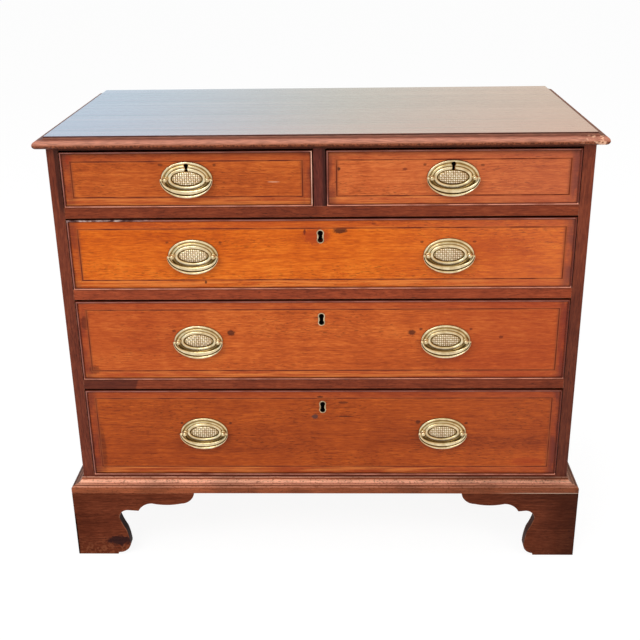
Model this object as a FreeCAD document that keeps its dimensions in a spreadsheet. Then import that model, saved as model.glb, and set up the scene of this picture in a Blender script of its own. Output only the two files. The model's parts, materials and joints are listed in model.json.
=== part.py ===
"""Bachelor's chest: two short drawers over three long ones, on bracket feet.

Millimetres, +Z up, drawers open towards -Y.  The origin is on the floor, in the
middle of the chest's width and of its overall depth.
"""
import FreeCAD, Part
import os
import re

import Sketcher

SIZES = {
    # carcass
    "carcass_width": 900,
    "carcass_depth": 460,
    "side_thickness": 20,
    "bottom_thickness": 20,
    "bottom_reveal": 4,
    "back_thickness": 10,
    "back_rebate": 10,
    "back_seam": 0.4,
    "opening_1": 97,
    "opening_2": 128,
    "opening_3": 153,
    "opening_4": 177,
    "rail_thickness": 19,
    "rail_depth": 60,
    "top_rail_thickness": 5,
    "rear_rail_depth": 40,
    "tenon_length": 10,
    "tenon_thickness": 9,
    "tenon_width": 40,
    "divider_thickness": 20,
    "guide_height": 30,
    "runner_width": 28,
    "centre_runner_width": 60,
    "dustboard_thickness": 8,
    "groove_depth": 6,
    "stop_width": 30,
    "stop_height": 6,
    "stop_length": 14,
    "stop_inset": 90,
    # top
    "top_thickness": 19,
    "top_overhang": 17.5,
    "top_back_overhang": 5,
    "nose_radius": 6.5,
    "nose_flat": 2.5,
    "cove_width": 7.5,
    "quirk": 0.8,
    "top_fillet": 2,
    # base moulding
    "moulding_height": 25,
    "moulding_depth": 20,
    "fascia_height": 10,
    "moulding_fillet": 1,
    "ovolo": 4.5,
    "moulding_lip": 2,
    # bracket feet
    "foot_height": 135,
    "bracket_thickness": 20,
    "bracket_width": 221,
    "bracket_skew": 7,
    "side_bracket_width": 190,
    "toe_width": 76,
    "toe_rise": 4,
    "belly_reach": 97.5,
    "belly_height": 22,
    "belly_curl": 14,
    "knee_reach": 92,
    "knee_height": 54,
    "waist_reach": 81,
    "waist_drop": 54,
    "waist_curl": 22,
    "hollow_length": 17,
    "hollow_rise": 1.5,
    "cusp_lean": 6,
    "cusp_reach": 115,
    "cusp_drop": 39,
    "arch_reach": 141,
    "arch_drop": 23,
    "lobe_length": 24,
    "lobe_swell": 7.5,
    "lobe_lean": 4,
    "bracket_step": 4,
    "rear_toe_width": 60,
    "rear_bracket_width": 140,
    "glue_block": 38,
    "glue_block_lift": 10,
    # drawers
    "drawer_side_gap": 1.5,
    "drawer_top_gap": 2.5,
    "drawer_lift": 0.3,
    "stop_gap": 0.3,
    "front_thickness": 19,
    "drawer_rear_gap": 16,
    "drawer_side_thickness": 10,
    "drawer_side_drop": 3,
    "drawer_back_drop": 8,
    "panel_thickness": 6,
    "panel_height": 10,
    "panel_groove": 5,
    "tail_width": 20,
    "tail_slope": 3,
    "tail_length": 9,
    # cockbead and inlay
    "bead_thickness": 3,
    "bead_proud": 3,
    "bead_set": 9,
    "inlay_inset": 16,
    "inlay_width": 1.6,
    "inlay_depth": 1,
    # locks
    "lock_width": 60,
    "lock_height": 50,
    "lock_thickness": 9,
    "bolt_width": 20,
    "bolt_thickness": 5,
    "bolt_height": 20,
    "bolt_cover": 2,
    "bolt_gap": 0.4,
    "bolt_travel": 8,
    "keyhole_drop_1": 24,
    "keyhole_drop_2": 25.4,
    "keyhole_drop_3": 29.2,
    "keyhole_drop_4": 28.2,
    "keyhole_radius": 3.4,
    "keyhole_depth": 1.2,
    "plate_keyhole_slot": 4.2,
    "plate_keyhole_length": 15,
    "liner_keyhole_waist": 5.6,
    "liner_keyhole_foot": 3.4,
    "liner_keyhole_length": 18.6,
    "liner_width": 2.8,
    "liner_proud": 0.6,
    "liner_set": 2,
    # handles
    "handle_spacing": 435,
    "handle_height_1": 48,
    "handle_height_2": 61,
    "handle_height_3": 75,
    "handle_height_4": 89,
    "plate_length": 86,
    "plate_height": 58.5,
    "plate_thickness": 1.4,
    "rim_width": 3.7,
    "band_inset": 6,
    "band_width": 4.5,
    "ring_inset": 13,
    "ring_width": 3.5,
    "relief": 1.2,
    "medallion_inset": 18,
    "post_spacing": 70,
    "post_ball_radius": 4.25,
    "post_neck_radius": 2.8,
    "post_flange_radius": 3.9,
    "post_flange_height": 1.4,
    "handle_reach": 8,
    "shank_radius": 2,
    "shank_gap": 0.25,
    "thread_gap": 0.05,
    "nut_radius": 6,
    "nut_thickness": 4,
    "shank_tip": 2,
    "bail_width": 88,
    "bail_drop": 31,
    "bail_thickness": 4,
    "bail_bottom_width": 13,
    "bail_gap": 0.4,
    "pin_radius": 1.4,
    "pin_gap": 0.35,
    "pin_reach": 5,
    "knuckle_radius": 2.4,
}

DERIVED = {
    "half_width": "carcass_width / 2",
    "inner": "half_width - side_thickness",
    "overall_depth": "moulding_depth + carcass_depth + top_back_overhang",
    "front": "moulding_depth - overall_depth / 2",
    "back": "front + carcass_depth",
    "boards_front": "back - back_thickness",
    "rail_back": "front + rail_depth",
    "base_outer": "half_width + moulding_depth",
    "floor_4": "foot_height + moulding_height + bottom_reveal",
    "ceiling_4": "floor_4 + opening_4",
    "floor_3": "ceiling_4 + rail_thickness",
    "ceiling_3": "floor_3 + opening_3",
    "floor_2": "ceiling_3 + rail_thickness",
    "ceiling_2": "floor_2 + opening_2",
    "floor_1": "ceiling_2 + rail_thickness",
    "ceiling_1": "floor_1 + opening_1",
    "top_underside": "ceiling_1 + top_rail_thickness",
    "long_half": "inner - drawer_side_gap",
    "short_half": "(inner - divider_thickness / 2) / 2 - drawer_side_gap",
    "short_centre": "(inner + divider_thickness / 2) / 2",
    "front_back": "front + front_thickness",
    "drawer_back": "boards_front - drawer_rear_gap",
    "drawer_depth": "drawer_back - front_back",
    "mortise_depth": "bolt_travel - drawer_top_gap + 1",
    "bolt_front": "front_back - lock_thickness + bolt_cover",
    "bail_axis": "front - handle_reach",
    "post_x": "post_spacing / 2",
    "eye_x": "post_x + post_ball_radius + bail_gap",
}

# drawer name, row, side of the chest (0 for a drawer of full width), dovetails
DRAWERS = (
    ("drawer_1_left", 1, -1, 3),
    ("drawer_1_right", 1, 1, 3),
    ("drawer_2", 2, 0, 4),
    ("drawer_3", 3, 0, 5),
    ("drawer_4", 4, 0, 6),
)
BACK_BOARDS = 4
ALONG_X = FreeCAD.Rotation(FreeCAD.Vector(0, 1, 0), 90)
ALONG_Y = FreeCAD.Rotation(FreeCAD.Vector(1, 0, 0), -90)
FACING_FRONT = FreeCAD.Rotation(FreeCAD.Vector(1, 0, 0), 90)

doc = FreeCAD.newDocument("bachelors_chest")
sheet = doc.addObject("Spreadsheet::Sheet", "sizes")
levels = doc.addObject("App::VarSet", "levels")
nodes = []


def qualify(formula):
    """The formula with each size named in full, as an expression needs it."""
    def full_name(match):
        word = match.group()
        if word in SIZES:
            return "sizes." + word
        if word in DERIVED:
            return "levels." + word
        return word
    return re.sub(r"[a-z_][a-z_0-9]*", full_name, str(formula))


def value(formula):
    """What a formula comes to with the present sizes."""
    return float(levels.evalExpression(qualify(formula)))


def write_sizes():
    """Fill the sheet with the sizes and the variable set with what follows from them."""
    for row, (alias, number) in enumerate(SIZES.items(), start=1):
        sheet.set("A%d" % row, alias.replace("_", " "))
        sheet.set("B%d" % row, str(number))
        sheet.setAlias("B%d" % row, alias)
    doc.recompute()
    for name, formula in DERIVED.items():
        levels.addProperty("App::PropertyFloat", name)
        levels.setExpression(name, qualify(formula))
        doc.recompute()


def bind(thing, **formulas):
    """Tie an object's properties to formulas."""
    for prop, formula in formulas.items():
        thing.setExpression(prop, qualify(formula))
    return thing


def place(thing, x, y, z):
    """Tie an object's position to formulas."""
    for axis, formula in zip("xyz", (x, y, z)):
        thing.setExpression("Placement.Base." + axis, qualify(formula))
    return thing


def box(name, x, y, z, length, width, height):
    """A board with its lowest corner at x, y, z."""
    board = doc.addObject("Part::Box", name)
    bind(board, Length=length, Width=width, Height=height)
    return place(board, x, y, z)


def cylinder(name, rotation, x, y, z, radius, length):
    """A cylinder that starts at x, y, z and runs along the rotated Z axis."""
    rod = doc.addObject("Part::Cylinder", name)
    rod.Placement.Rotation = rotation
    bind(rod, Radius=radius, Height=length)
    return place(rod, x, y, z)


def oval(name, x, y, z, half_length, half_height, depth):
    """An elliptical slab that stands upright and runs from y towards the viewer, -Y."""
    edge = doc.addObject("Part::Ellipse", name + "_edge")
    edge.Placement.Rotation = FACING_FRONT
    bind(edge, MajorRadius=half_length, MinorRadius=half_height)
    place(edge, x, y, z)
    slab = doc.addObject("Part::Extrusion", name)
    slab.Base = edge
    slab.DirMode = "Custom"
    slab.Dir = FreeCAD.Vector(0, -1, 0)
    slab.Solid = True
    return bind(slab, LengthFwd=depth)


def cut(name, base, *tools):
    """The base less every tool."""
    whole = doc.addObject("Part::Cut", name)
    whole.Base = base
    whole.Tool = tools[0] if len(tools) == 1 else group(name + "_tools", *tools)
    return whole


def fuse(name, *parts):
    """The parts as one solid."""
    whole = doc.addObject("Part::MultiFuse", name)
    whole.Shapes = list(parts)
    whole.Refine = True
    return whole


def common(name, base, tool):
    """Where the base and the tool meet."""
    whole = doc.addObject("Part::Common", name)
    whole.Base = base
    whole.Tool = tool
    return whole


def group(name, *parts):
    """Several separate solids kept together."""
    whole = doc.addObject("Part::Compound", name)
    whole.Links = list(parts)
    return whole


def mirror(name, source, normal=(1, 0, 0), at=("0", "0", "0")):
    """The source seen in a mirror, by default the chest's middle plane."""
    copy = doc.addObject("Part::Mirroring", name)
    copy.Source = source
    copy.Normal = FreeCAD.Vector(*normal)
    for axis, formula in zip("xyz", at):
        copy.setExpression("Base." + axis, qualify(formula))
    return copy


def node(label, thing):
    """Give a finished sub-part the name that its file gets."""
    thing.Label = label
    nodes.append(thing)
    return thing


def arc_middle(start, end, corner):
    """The middle of an arc from start to end that rounds off the given corner."""
    return tuple("(%s + %s) * 0.2929 + (%s) * 0.4142" % (a, b, c)
                 for a, b, c in zip(start, end, corner))


def pin_point(sketch, geometry, end, point):
    """Hold one end of a sketch's line, arc or point at a formula's place."""
    for kind, formula in (("DistanceX", point[0]), ("DistanceY", point[1])):
        index = sketch.addConstraint(Sketcher.Constraint(kind, -1, 1, geometry, end, value(formula)))
        sketch.setExpression("Constraints[%d]" % index, qualify(formula))


def draw_loop(sketch, outline):
    """Draw a closed outline: points, with ("arc", x, y) where an arc rounds the corner x, y."""
    points = [item for item in outline if item[0] != "arc"]
    corners = {}
    seen = -1
    for item in outline:
        if item[0] == "arc":
            corners[seen] = item[1:]
        else:
            seen += 1
    for number, start in enumerate(points):
        end = points[(number + 1) % len(points)]
        first, last = (FreeCAD.Vector(value(p[0]), value(p[1]), 0) for p in (start, end))
        if number not in corners:
            line = sketch.addGeometry(Part.LineSegment(first, last))
            pin_point(sketch, line, 1, start)
            pin_point(sketch, line, 2, end)
            continue
        via = arc_middle(start, end, corners[number])
        middle = FreeCAD.Vector(value(via[0]), value(via[1]), 0)
        arc = sketch.addGeometry(Part.Arc(first, middle, last))
        flipped = sketch.getPoint(arc, 1).distanceToPoint(first) > 1e-6
        pin_point(sketch, arc, 2 if flipped else 1, start)
        pin_point(sketch, arc, 1 if flipped else 2, end)
        mark = sketch.addGeometry(Part.Point(middle), True)
        pin_point(sketch, mark, 1, via)
        sketch.addConstraint(Sketcher.Constraint("PointOnObject", mark, 1, arc))


def draw_circle(sketch, x, y, radius):
    """Draw a circle whose centre and radius follow formulas."""
    middle = FreeCAD.Vector(value(x), value(y), 0)
    ring = sketch.addGeometry(Part.Circle(middle, FreeCAD.Vector(0, 0, 1), value(radius)))
    pin_point(sketch, ring, 3, (x, y))
    index = sketch.addConstraint(Sketcher.Constraint("Radius", ring, value(radius)))
    sketch.setExpression("Constraints[%d]" % index, qualify(radius))


def new_body(name, x="0", y="0", z="0"):
    """An empty body whose own origin stands at x, y, z."""
    return place(doc.addObject("PartDesign::Body", name), x, y, z)


def new_sketch(body, plane, *loops, circles=()):
    """A sketch of closed outlines and circles on one of the body's origin planes."""
    count = len(body.Group)
    sketch = body.newObject("Sketcher::SketchObject", "%s_sketch_%d" % (body.Name, count))
    support = next(item for item in body.Origin.OriginFeatures if item.Role == plane)
    sketch.AttachmentSupport = (support, "")
    sketch.MapMode = "FlatFace"
    for outline in loops:
        draw_loop(sketch, outline)
    for circle in circles:
        draw_circle(sketch, *circle)
    return sketch


def pad(body, plane, length, *loops, symmetric=False, backwards=False):
    """Add material along the plane's normal."""
    feature = body.newObject("PartDesign::Pad", "%s_pad_%d" % (body.Name, len(body.Group)))
    feature.Profile = new_sketch(body, plane, *loops)
    feature.SideType = "Symmetric" if symmetric else "One side"
    feature.Reversed = backwards
    bind(feature, Length=length)
    return feature


def pocket(body, plane, depth, *loops, circles=()):
    """Cut from the plane into the body; without a depth, cut right through both ways."""
    feature = body.newObject("PartDesign::Pocket", "%s_pocket_%d" % (body.Name, len(body.Group)))
    feature.Profile = new_sketch(body, plane, *loops, circles=circles)
    if depth is None:
        feature.Type = "ThroughAll"
        feature.SideType = "Symmetric"
    else:
        bind(feature, Length=depth)
    return feature


def rectangle(x_low, x_high, y_low, y_high):
    """The outline of an upright rectangle."""
    return [(x_low, y_low), (x_high, y_low), (x_high, y_high), (x_low, y_high)]


def flipped(outline):
    """An outline mirrored across the sketch's vertical axis."""
    return [item[:-2] + ("-(%s)" % item[-2], item[-1]) for item in outline]


def both_ways(outline):
    """An outline and its mirror image."""
    return outline, flipped(outline)


# --------------------------------------------------------------------- carcass

def make_sides():
    """Both sides, rebated for the back and mortised for the rails and bottom."""
    blank = box("side_blank", "-half_width", "front", "foot_height",
                "side_thickness", "carcass_depth", "top_underside - foot_height")
    rebate = box("side_rebate", "-inner - back_rebate", "boards_front", "foot_height",
                 "back_rebate", "back_thickness", "top_underside - foot_height")
    tenons = [rail_tenon("side_mortise_%d" % row, "ceiling_%d" % (row + 1)) for row in (1, 2, 3)]
    left = cut("side_left_cut", blank, rebate, bottom_tongue("side_bottom_mortise"), *tenons)
    node("side_left", left)
    node("side_right", mirror("side_right_copy", left))


def rail_tenon(name, underside):
    """The tenon at a rail's left end."""
    return box(name, "-inner - tenon_length", "front + (rail_depth - tenon_width) / 2",
               "%s + (rail_thickness - tenon_thickness) / 2" % underside,
               "tenon_length", "tenon_width", "tenon_thickness")


def bottom_tongue(name):
    """The tongue along the bottom board's left end."""
    return box(name, "-inner - tenon_length", "front + (rail_depth - tenon_width) / 2",
               "floor_4 - (bottom_thickness + tenon_thickness) / 2",
               "tenon_length", "carcass_depth - rail_depth", "tenon_thickness")


def make_bottom():
    """The bottom board, tongued into the sides; the lowest drawer runs on it."""
    blank = box("bottom_blank", "-inner", "front", "floor_4 - bottom_thickness",
                "2 * inner", "carcass_depth - back_thickness", "bottom_thickness")
    tongue = bottom_tongue("bottom_tongue_left")
    node("bottom_board", fuse("bottom_whole", blank, tongue, mirror("bottom_tongue_right", tongue)))


def bolt_mortise(name, x, row):
    """The pocket above a drawer that its lock's bolt shoots into."""
    return box(name, "%s - bolt_width / 2 - bolt_gap" % x, "bolt_front - bolt_gap", "ceiling_%d" % row,
               "bolt_width + 2 * bolt_gap", "bolt_thickness + 2 * bolt_gap", "mortise_depth")


def dustboard(name, row, x, length):
    """A thin board that closes the space between two drawers."""
    return box(name, x, "rail_back - groove_depth",
               "floor_%d - (rail_thickness + dustboard_thickness) / 2" % row,
               length, "boards_front - rail_back + groove_depth", "dustboard_thickness")


def make_dustboards():
    """One dust board in each of the two lower levels and two halves in the upper one."""
    outer = "(inner - runner_width + groove_depth)"
    half = dustboard("dustboard_half", 1, "-" + outer,
                     outer + " - centre_runner_width / 2 + groove_depth")
    boards = {1: [half, mirror("dustboard_other_half", half)]}
    for row in (2, 3):
        boards[row] = [dustboard("dustboard_%d" % row, row, "-" + outer, "2 * " + outer)]
    node("dustboards", group("all_dustboards", *boards[1], *boards[2], *boards[3]))
    return boards


def make_rails(boards):
    """The three rails between the drawers, grooved for the dust boards."""
    rails = []
    for row in (1, 2, 3):
        underside = "ceiling_%d" % (row + 1)
        blank = box("rail_blank_%d" % row, "-inner", "front", underside,
                    "2 * inner", "rail_depth", "rail_thickness")
        tenon = rail_tenon("rail_tenon_%d" % row, underside)
        other = mirror("rail_other_tenon_%d" % row, tenon)
        whole = fuse("rail_whole_%d" % row, blank, tenon, other)
        pockets = [bolt_mortise("rail_mortise_%d" % row, "0", row + 1)]
        if row == 1:
            pockets.append(divider_tenon("rail_divider_mortise"))
        rails.append(cut("rail_%d" % row, whole, *boards[row], *pockets))
    node("drawer_rails", group("all_rails", *rails))


def divider_tenon(name):
    """The tenon under the upright divider."""
    return box(name, "-tenon_thickness / 2", "front + (rail_depth - tenon_width) / 2",
               "floor_1 - tenon_length", "tenon_thickness", "tenon_width", "tenon_length")


def make_divider():
    """The upright between the short drawers and the guide behind it."""
    upright = box("divider_blank", "-divider_thickness / 2", "front", "floor_1",
                  "divider_thickness", "rail_depth", "opening_1")
    guide = box("divider_guide", "-divider_thickness / 2", "rail_back", "floor_1",
                "divider_thickness", "boards_front - rail_back", "guide_height")
    whole = fuse("divider_upright", upright, divider_tenon("divider_foot"))
    node("short_drawer_divider", group("divider_group", whole, guide))


def make_top_rails():
    """The thin rails under the top, at the front and the back."""
    front_rail = box("top_rail_blank", "-inner", "front", "ceiling_1",
                     "2 * inner", "rail_depth", "top_rail_thickness")
    rear_rail = box("rear_rail", "-inner", "boards_front - rear_rail_depth", "ceiling_1",
                    "2 * inner", "rear_rail_depth", "top_rail_thickness")
    pierced = cut("top_rail_front", front_rail,
                  bolt_mortise("top_rail_mortise_left", "-short_centre", 1),
                  bolt_mortise("top_rail_mortise_right", "short_centre", 1))
    node("top_rails", group("top_rail_group", pierced, rear_rail))


def make_runners(boards):
    """Runners under the drawers' sides, and kickers above the short drawers."""
    pieces = []
    for row in (1, 2, 3):
        blank = box("runner_blank_%d" % row, "-inner", "rail_back", "ceiling_%d" % (row + 1),
                    "runner_width", "boards_front - rail_back", "rail_thickness")
        left = cut("runner_left_%d" % row, blank, boards[row][0])
        pieces += [left, mirror("runner_right_%d" % row, left)]
    middle = box("runner_middle_blank", "-centre_runner_width / 2", "rail_back", "ceiling_2",
                 "centre_runner_width", "boards_front - rail_back", "rail_thickness")
    pieces.append(cut("runner_middle", middle, *boards[1]))
    kicker_length = "boards_front - rear_rail_depth - rail_back"
    kicker = box("kicker_left", "-inner", "rail_back", "ceiling_1",
                 "runner_width", kicker_length, "top_rail_thickness")
    middle_kicker = box("kicker_middle", "-centre_runner_width / 2", "rail_back", "ceiling_1",
                        "centre_runner_width", kicker_length, "top_rail_thickness")
    pieces += [kicker, mirror("kicker_right", kicker), middle_kicker]
    node("drawer_runners", group("all_runners", *pieces))


def make_stops():
    """Small blocks behind the drawer fronts that stop them flush with the carcass."""
    stops = []
    for row in (1, 2, 3, 4):
        left = box("stop_left_%d" % row, "-inner + stop_inset", "front_back + stop_gap", "floor_%d" % row,
                   "stop_width", "stop_length", "stop_height")
        stops += [left, mirror("stop_right_%d" % row, left)]
    node("drawer_stops", group("all_stops", *stops))


def make_back():
    """Upright boards that close the back, side by side in the sides' rebates."""
    count = BACK_BOARDS
    width = "((2 * (inner + back_rebate) - %d * back_seam) / %d)" % (count - 1, count)
    boards = []
    for number in range(count):
        start = "-inner - back_rebate + %d * (%s + back_seam)" % (number, width)
        boards.append(box("back_board_%d" % (number + 1), start, "boards_front", "foot_height",
                          width, "back_thickness", "top_underside - foot_height"))
    node("back_boards", group("all_back_boards", *boards))


def edge_waste(reach, thickness):
    """What the moulding plane takes off the top's edge, drawn outwards from the carcass face."""
    clear = "(%s + 1)" % reach
    nose_top = "2 * nose_radius"
    cove_start = "(%s - nose_radius - nose_flat)" % reach
    fillet_foot = "(%s - top_fillet)" % thickness
    cove_end = "(%s - cove_width)" % cove_start
    return [
        ("%s - nose_radius" % reach, "-1"), (clear, "-1"), (clear, "%s + 1" % thickness),
        (cove_end, "%s + 1" % thickness), (cove_end, fillet_foot),
        ("arc", cove_end, "%s + quirk" % nose_top),
        (cove_start, "%s + quirk" % nose_top), (cove_start, nose_top),
        ("%s - nose_radius" % reach, nose_top),
        ("arc", reach, nose_top), (reach, "nose_radius"),
        ("arc", reach, "0"), ("%s - nose_radius" % reach, "0"),
    ]


def make_top():
    """The top board with its moulded front and ends."""
    body = new_body("top_body", z="top_underside")
    side_reach = "(half_width + top_overhang)"
    pad(body, "XY_Plane", "top_thickness",
        rectangle("-" + side_reach, side_reach, "front - top_overhang", "back + top_back_overhang"))
    pocket(body, "XZ_Plane", None, *both_ways(edge_waste(side_reach, "top_thickness")))
    pocket(body, "YZ_Plane", None, flipped(edge_waste("(top_overhang - front)", "top_thickness")))
    node("top", cut("top_cut", body,
                    bolt_mortise("top_mortise_left", "-short_centre", 1),
                    bolt_mortise("top_mortise_right", "short_centre", 1)))


# ---------------------------------------------------------------- base and feet

def moulding_section():
    """The base moulding's section: distance out from the carcass, height above its underside."""
    step = "moulding_depth - moulding_fillet"
    shoulder = "fascia_height + ovolo"
    return [
        ("0", "0"), ("moulding_depth", "0"), ("moulding_depth", "fascia_height"),
        (step, "fascia_height"), ("arc", step, shoulder),
        (step + " - ovolo", shoulder), (step + " - ovolo - moulding_fillet", shoulder),
        ("arc", "moulding_lip", shoulder), ("moulding_lip", "moulding_height"),
        ("0", "moulding_height"),
    ]


def mitre_triangle(size):
    """The corner that a mitre takes off, in plan, from the outer corner inwards."""
    return [("0", "0"), (size, size), ("0", size)]


def make_base_moulding():
    """The moulding round the front and both ends, mitred at the corners."""
    front_run = new_body("moulding_front", y="front", z="foot_height")
    pad(front_run, "YZ_Plane", "2 * base_outer", flipped(moulding_section()), symmetric=True)
    pocket(front_run, "XY_Plane", None, *both_ways(
        [("-base_outer", "-moulding_depth"), ("-half_width", "0"), ("-base_outer", "0")]))
    left_run = new_body("moulding_left", x="-half_width", y="back", z="foot_height")
    pad(left_run, "XZ_Plane", "carcass_depth + moulding_depth", flipped(moulding_section()))
    pocket(left_run, "XY_Plane", None,
           [("-moulding_depth", "-carcass_depth - moulding_depth"),
            ("0", "-carcass_depth - moulding_depth"), ("0", "-carcass_depth")])
    node("base_moulding", group("moulding_group", front_run, left_run,
                                mirror("moulding_right", left_run)))


def bracket_outline(width, skew="0"):
    """A shaped bracket, from its outer corner inwards: toe, belly, knee, waist, cusp, arch and lobe.

    The skew lengthens the arch and, half as much, the leg.
    """
    width = "(%s + %s)" % (width, skew)
    belly, knee, waist = ("(%s_reach + %s / 2)" % (name, skew) for name in ("belly", "knee", "waist"))
    cusp, arch = ("(%s_reach + %s)" % (name, skew) for name in ("cusp", "arch"))
    hollow = waist + " + hollow_length"
    lobe = width + " - lobe_length"
    return [
        ("0", "0"), ("toe_width", "0"), ("toe_width", "toe_rise"),
        ("arc", belly, "toe_rise"), (belly, "belly_height"),
        ("arc", belly, "belly_height + belly_curl"), (knee, "knee_height"),
        ("arc", waist, "knee_height + waist_curl"), (waist, "foot_height - waist_drop"),
        ("arc", waist, "foot_height - cusp_drop + hollow_rise"),
        (hollow, "foot_height - cusp_drop + hollow_rise"), (cusp, "foot_height - cusp_drop"),
        ("arc", cusp + " + cusp_lean", "foot_height - arch_drop"),
        (arch, "foot_height - arch_drop"),
        ("arc", "(%s + %s) / 2" % (arch, lobe), "foot_height - arch_drop - lobe_swell"),
        (lobe, "foot_height - arch_drop"), ("arc", width + " - lobe_lean", "foot_height - arch_drop"),
        (width, "foot_height - bracket_step"), (width, "foot_height"), ("0", "foot_height"),
    ]


def make_front_foot(side, skew):
    """A front foot's two mitred brackets and its glue block, drawn as for the left corner."""
    facing = new_body("foot_facing_" + side, x="-base_outer", y="front - moulding_depth")
    pad(facing, "XZ_Plane", "bracket_thickness", bracket_outline("bracket_width", skew), backwards=True)
    pocket(facing, "XY_Plane", None, mitre_triangle("bracket_thickness"))
    flank = new_body("foot_flank_" + side, x="-base_outer", y="front - moulding_depth")
    pad(flank, "YZ_Plane", "bracket_thickness", bracket_outline("side_bracket_width"))
    pocket(flank, "XY_Plane", None, [("0", "0"), ("bracket_thickness", "0"),
                                     ("bracket_thickness", "bracket_thickness")])
    block = box("foot_block_" + side, "-base_outer + bracket_thickness",
                "front - moulding_depth + bracket_thickness", "glue_block_lift",
                "glue_block", "glue_block", "foot_height - glue_block_lift")
    return facing, flank, block


def make_rear_foot():
    """The left rear foot: a shaped side bracket, a plain back bracket and a glue block."""
    plain = new_body("rear_flank_body", x="-base_outer", y="0")
    pad(plain, "YZ_Plane", "bracket_thickness", bracket_outline("side_bracket_width"))
    flank = mirror("rear_flank", plain, normal=(0, 1, 0), at=("0", "back / 2", "0"))
    board = new_body("rear_bracket", x="-base_outer + bracket_thickness", y="back")
    pad(board, "XZ_Plane", "bracket_thickness",
        [("0", "0"), ("rear_toe_width", "0"), ("rear_bracket_width", "foot_height"), ("0", "foot_height")])
    block = box("rear_block", "-base_outer + bracket_thickness", "back - bracket_thickness - glue_block",
                "glue_block_lift", "glue_block", "glue_block", "foot_height - glue_block_lift")
    return flank, board, block


def make_feet():
    """Two front feet as nodes of their own, the left one cut longer, and the plainer rear pair."""
    node("foot_front_left", group("foot_left_group", *make_front_foot("left", "bracket_skew")))
    drawn = make_front_foot("right", "(-bracket_skew)")
    right = [mirror(piece.Name + "_mirrored", piece) for piece in drawn]
    node("foot_front_right", group("foot_right_group", *right))
    rear = make_rear_foot()
    rear_right = [mirror(piece.Name + "_right", piece) for piece in rear]
    node("feet_rear", group("rear_feet_group", *rear, *rear_right))


# --------------------------------------------------------------------- drawers

class Drawer:
    """Where one drawer's edges are, as formulas."""

    def __init__(self, name, row, side, tails):
        self.name = name
        self.row = row
        self.tails = tails
        self.short = side != 0
        self.half = "short_half" if side else "long_half"
        self.x = {-1: "(-short_centre)", 0: "0", 1: "short_centre"}[side]
        self.low = "(floor_%d + drawer_lift)" % row
        self.height = "(opening_%d - drawer_lift - drawer_top_gap)" % row
        self.top = "(ceiling_%d - drawer_top_gap)" % row
        self.key_z = "(%s - keyhole_drop_%d)" % (self.top, row)
        self.handle_z = "(floor_%d + handle_height_%d)" % (row, row)
        pair = [("left", "(-handle_spacing / 2)"), ("right", "(handle_spacing / 2)")]
        self.handles = [("handle", self.x)] if side else pair


def keyhole(name, drawer, y, depth, grow="0"):
    """A drawer's keyhole, running inwards from y: a round head, a waist and a rounded foot."""
    if drawer.short:
        waist, foot_radius, length = "plate_keyhole_slot", "plate_keyhole_slot / 2", "plate_keyhole_length"
    else:
        waist, foot_radius, length = "liner_keyhole_waist", "liner_keyhole_foot", "liner_keyhole_length"
    fall = "(%s - keyhole_radius - %s)" % (length, foot_radius)
    half = "(%s / 2 + %s)" % (waist, grow)
    foot_z = "%s - %s" % (drawer.key_z, fall)
    head = cylinder(name + "_head", ALONG_Y, drawer.x, y, drawer.key_z, "keyhole_radius + " + grow, depth)
    slot = box(name + "_slot", "%s - %s" % (drawer.x, half), y, foot_z, "2 * " + half, depth, fall)
    foot = cylinder(name + "_foot", ALONG_Y, drawer.x, y, foot_z, "%s + %s" % (foot_radius, grow), depth)
    return fuse(name, head, slot, foot)


def dovetails(drawer, end):
    """The tails at one end of a drawer's left side: wedges that widen away from the side."""
    at_front = end == "front"
    low = drawer.low if at_front else "(%s + panel_height + panel_thickness)" % drawer.low
    high = "(%s - %s)" % (drawer.top, "drawer_side_drop" if at_front else "drawer_back_drop")
    length = "tail_length" if at_front else "drawer_side_thickness"
    shoulder = "front_back" if at_front else "(drawer_back - drawer_side_thickness)"
    count = drawer.tails if at_front else drawer.tails - 1
    tails = []
    for number in range(count):
        wedge = doc.addObject("Part::Wedge", "%s_%s_tail_%d" % (drawer.name, end, number + 1))
        near, far = ("Zmin", "Zmax"), ("Z2min", "Z2max")
        if at_front:
            near, far = far, near
        bind(wedge, Xmin="0", X2min="0", Xmax="drawer_side_thickness", X2max="drawer_side_thickness",
             Ymin="0", Ymax=length)
        bind(wedge, **{near[0]: "tail_slope", near[1]: "tail_width - tail_slope",
                       far[0]: "0", far[1]: "tail_width"})
        middle = "%s + (%s - %s) * %d / %d" % (low, high, low, 2 * number + 1, 2 * count)
        start = "%s - %s" % (shoulder, length) if at_front else shoulder
        place(wedge, "%s - %s" % (drawer.x, drawer.half), start, "%s - tail_width / 2" % middle)
        tails.append(wedge)
    return tails


def mirror_in_drawer(drawer, name, source):
    """The source mirrored across the middle of its drawer."""
    return mirror(name, source, at=(drawer.x, "0", "0"))


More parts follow.
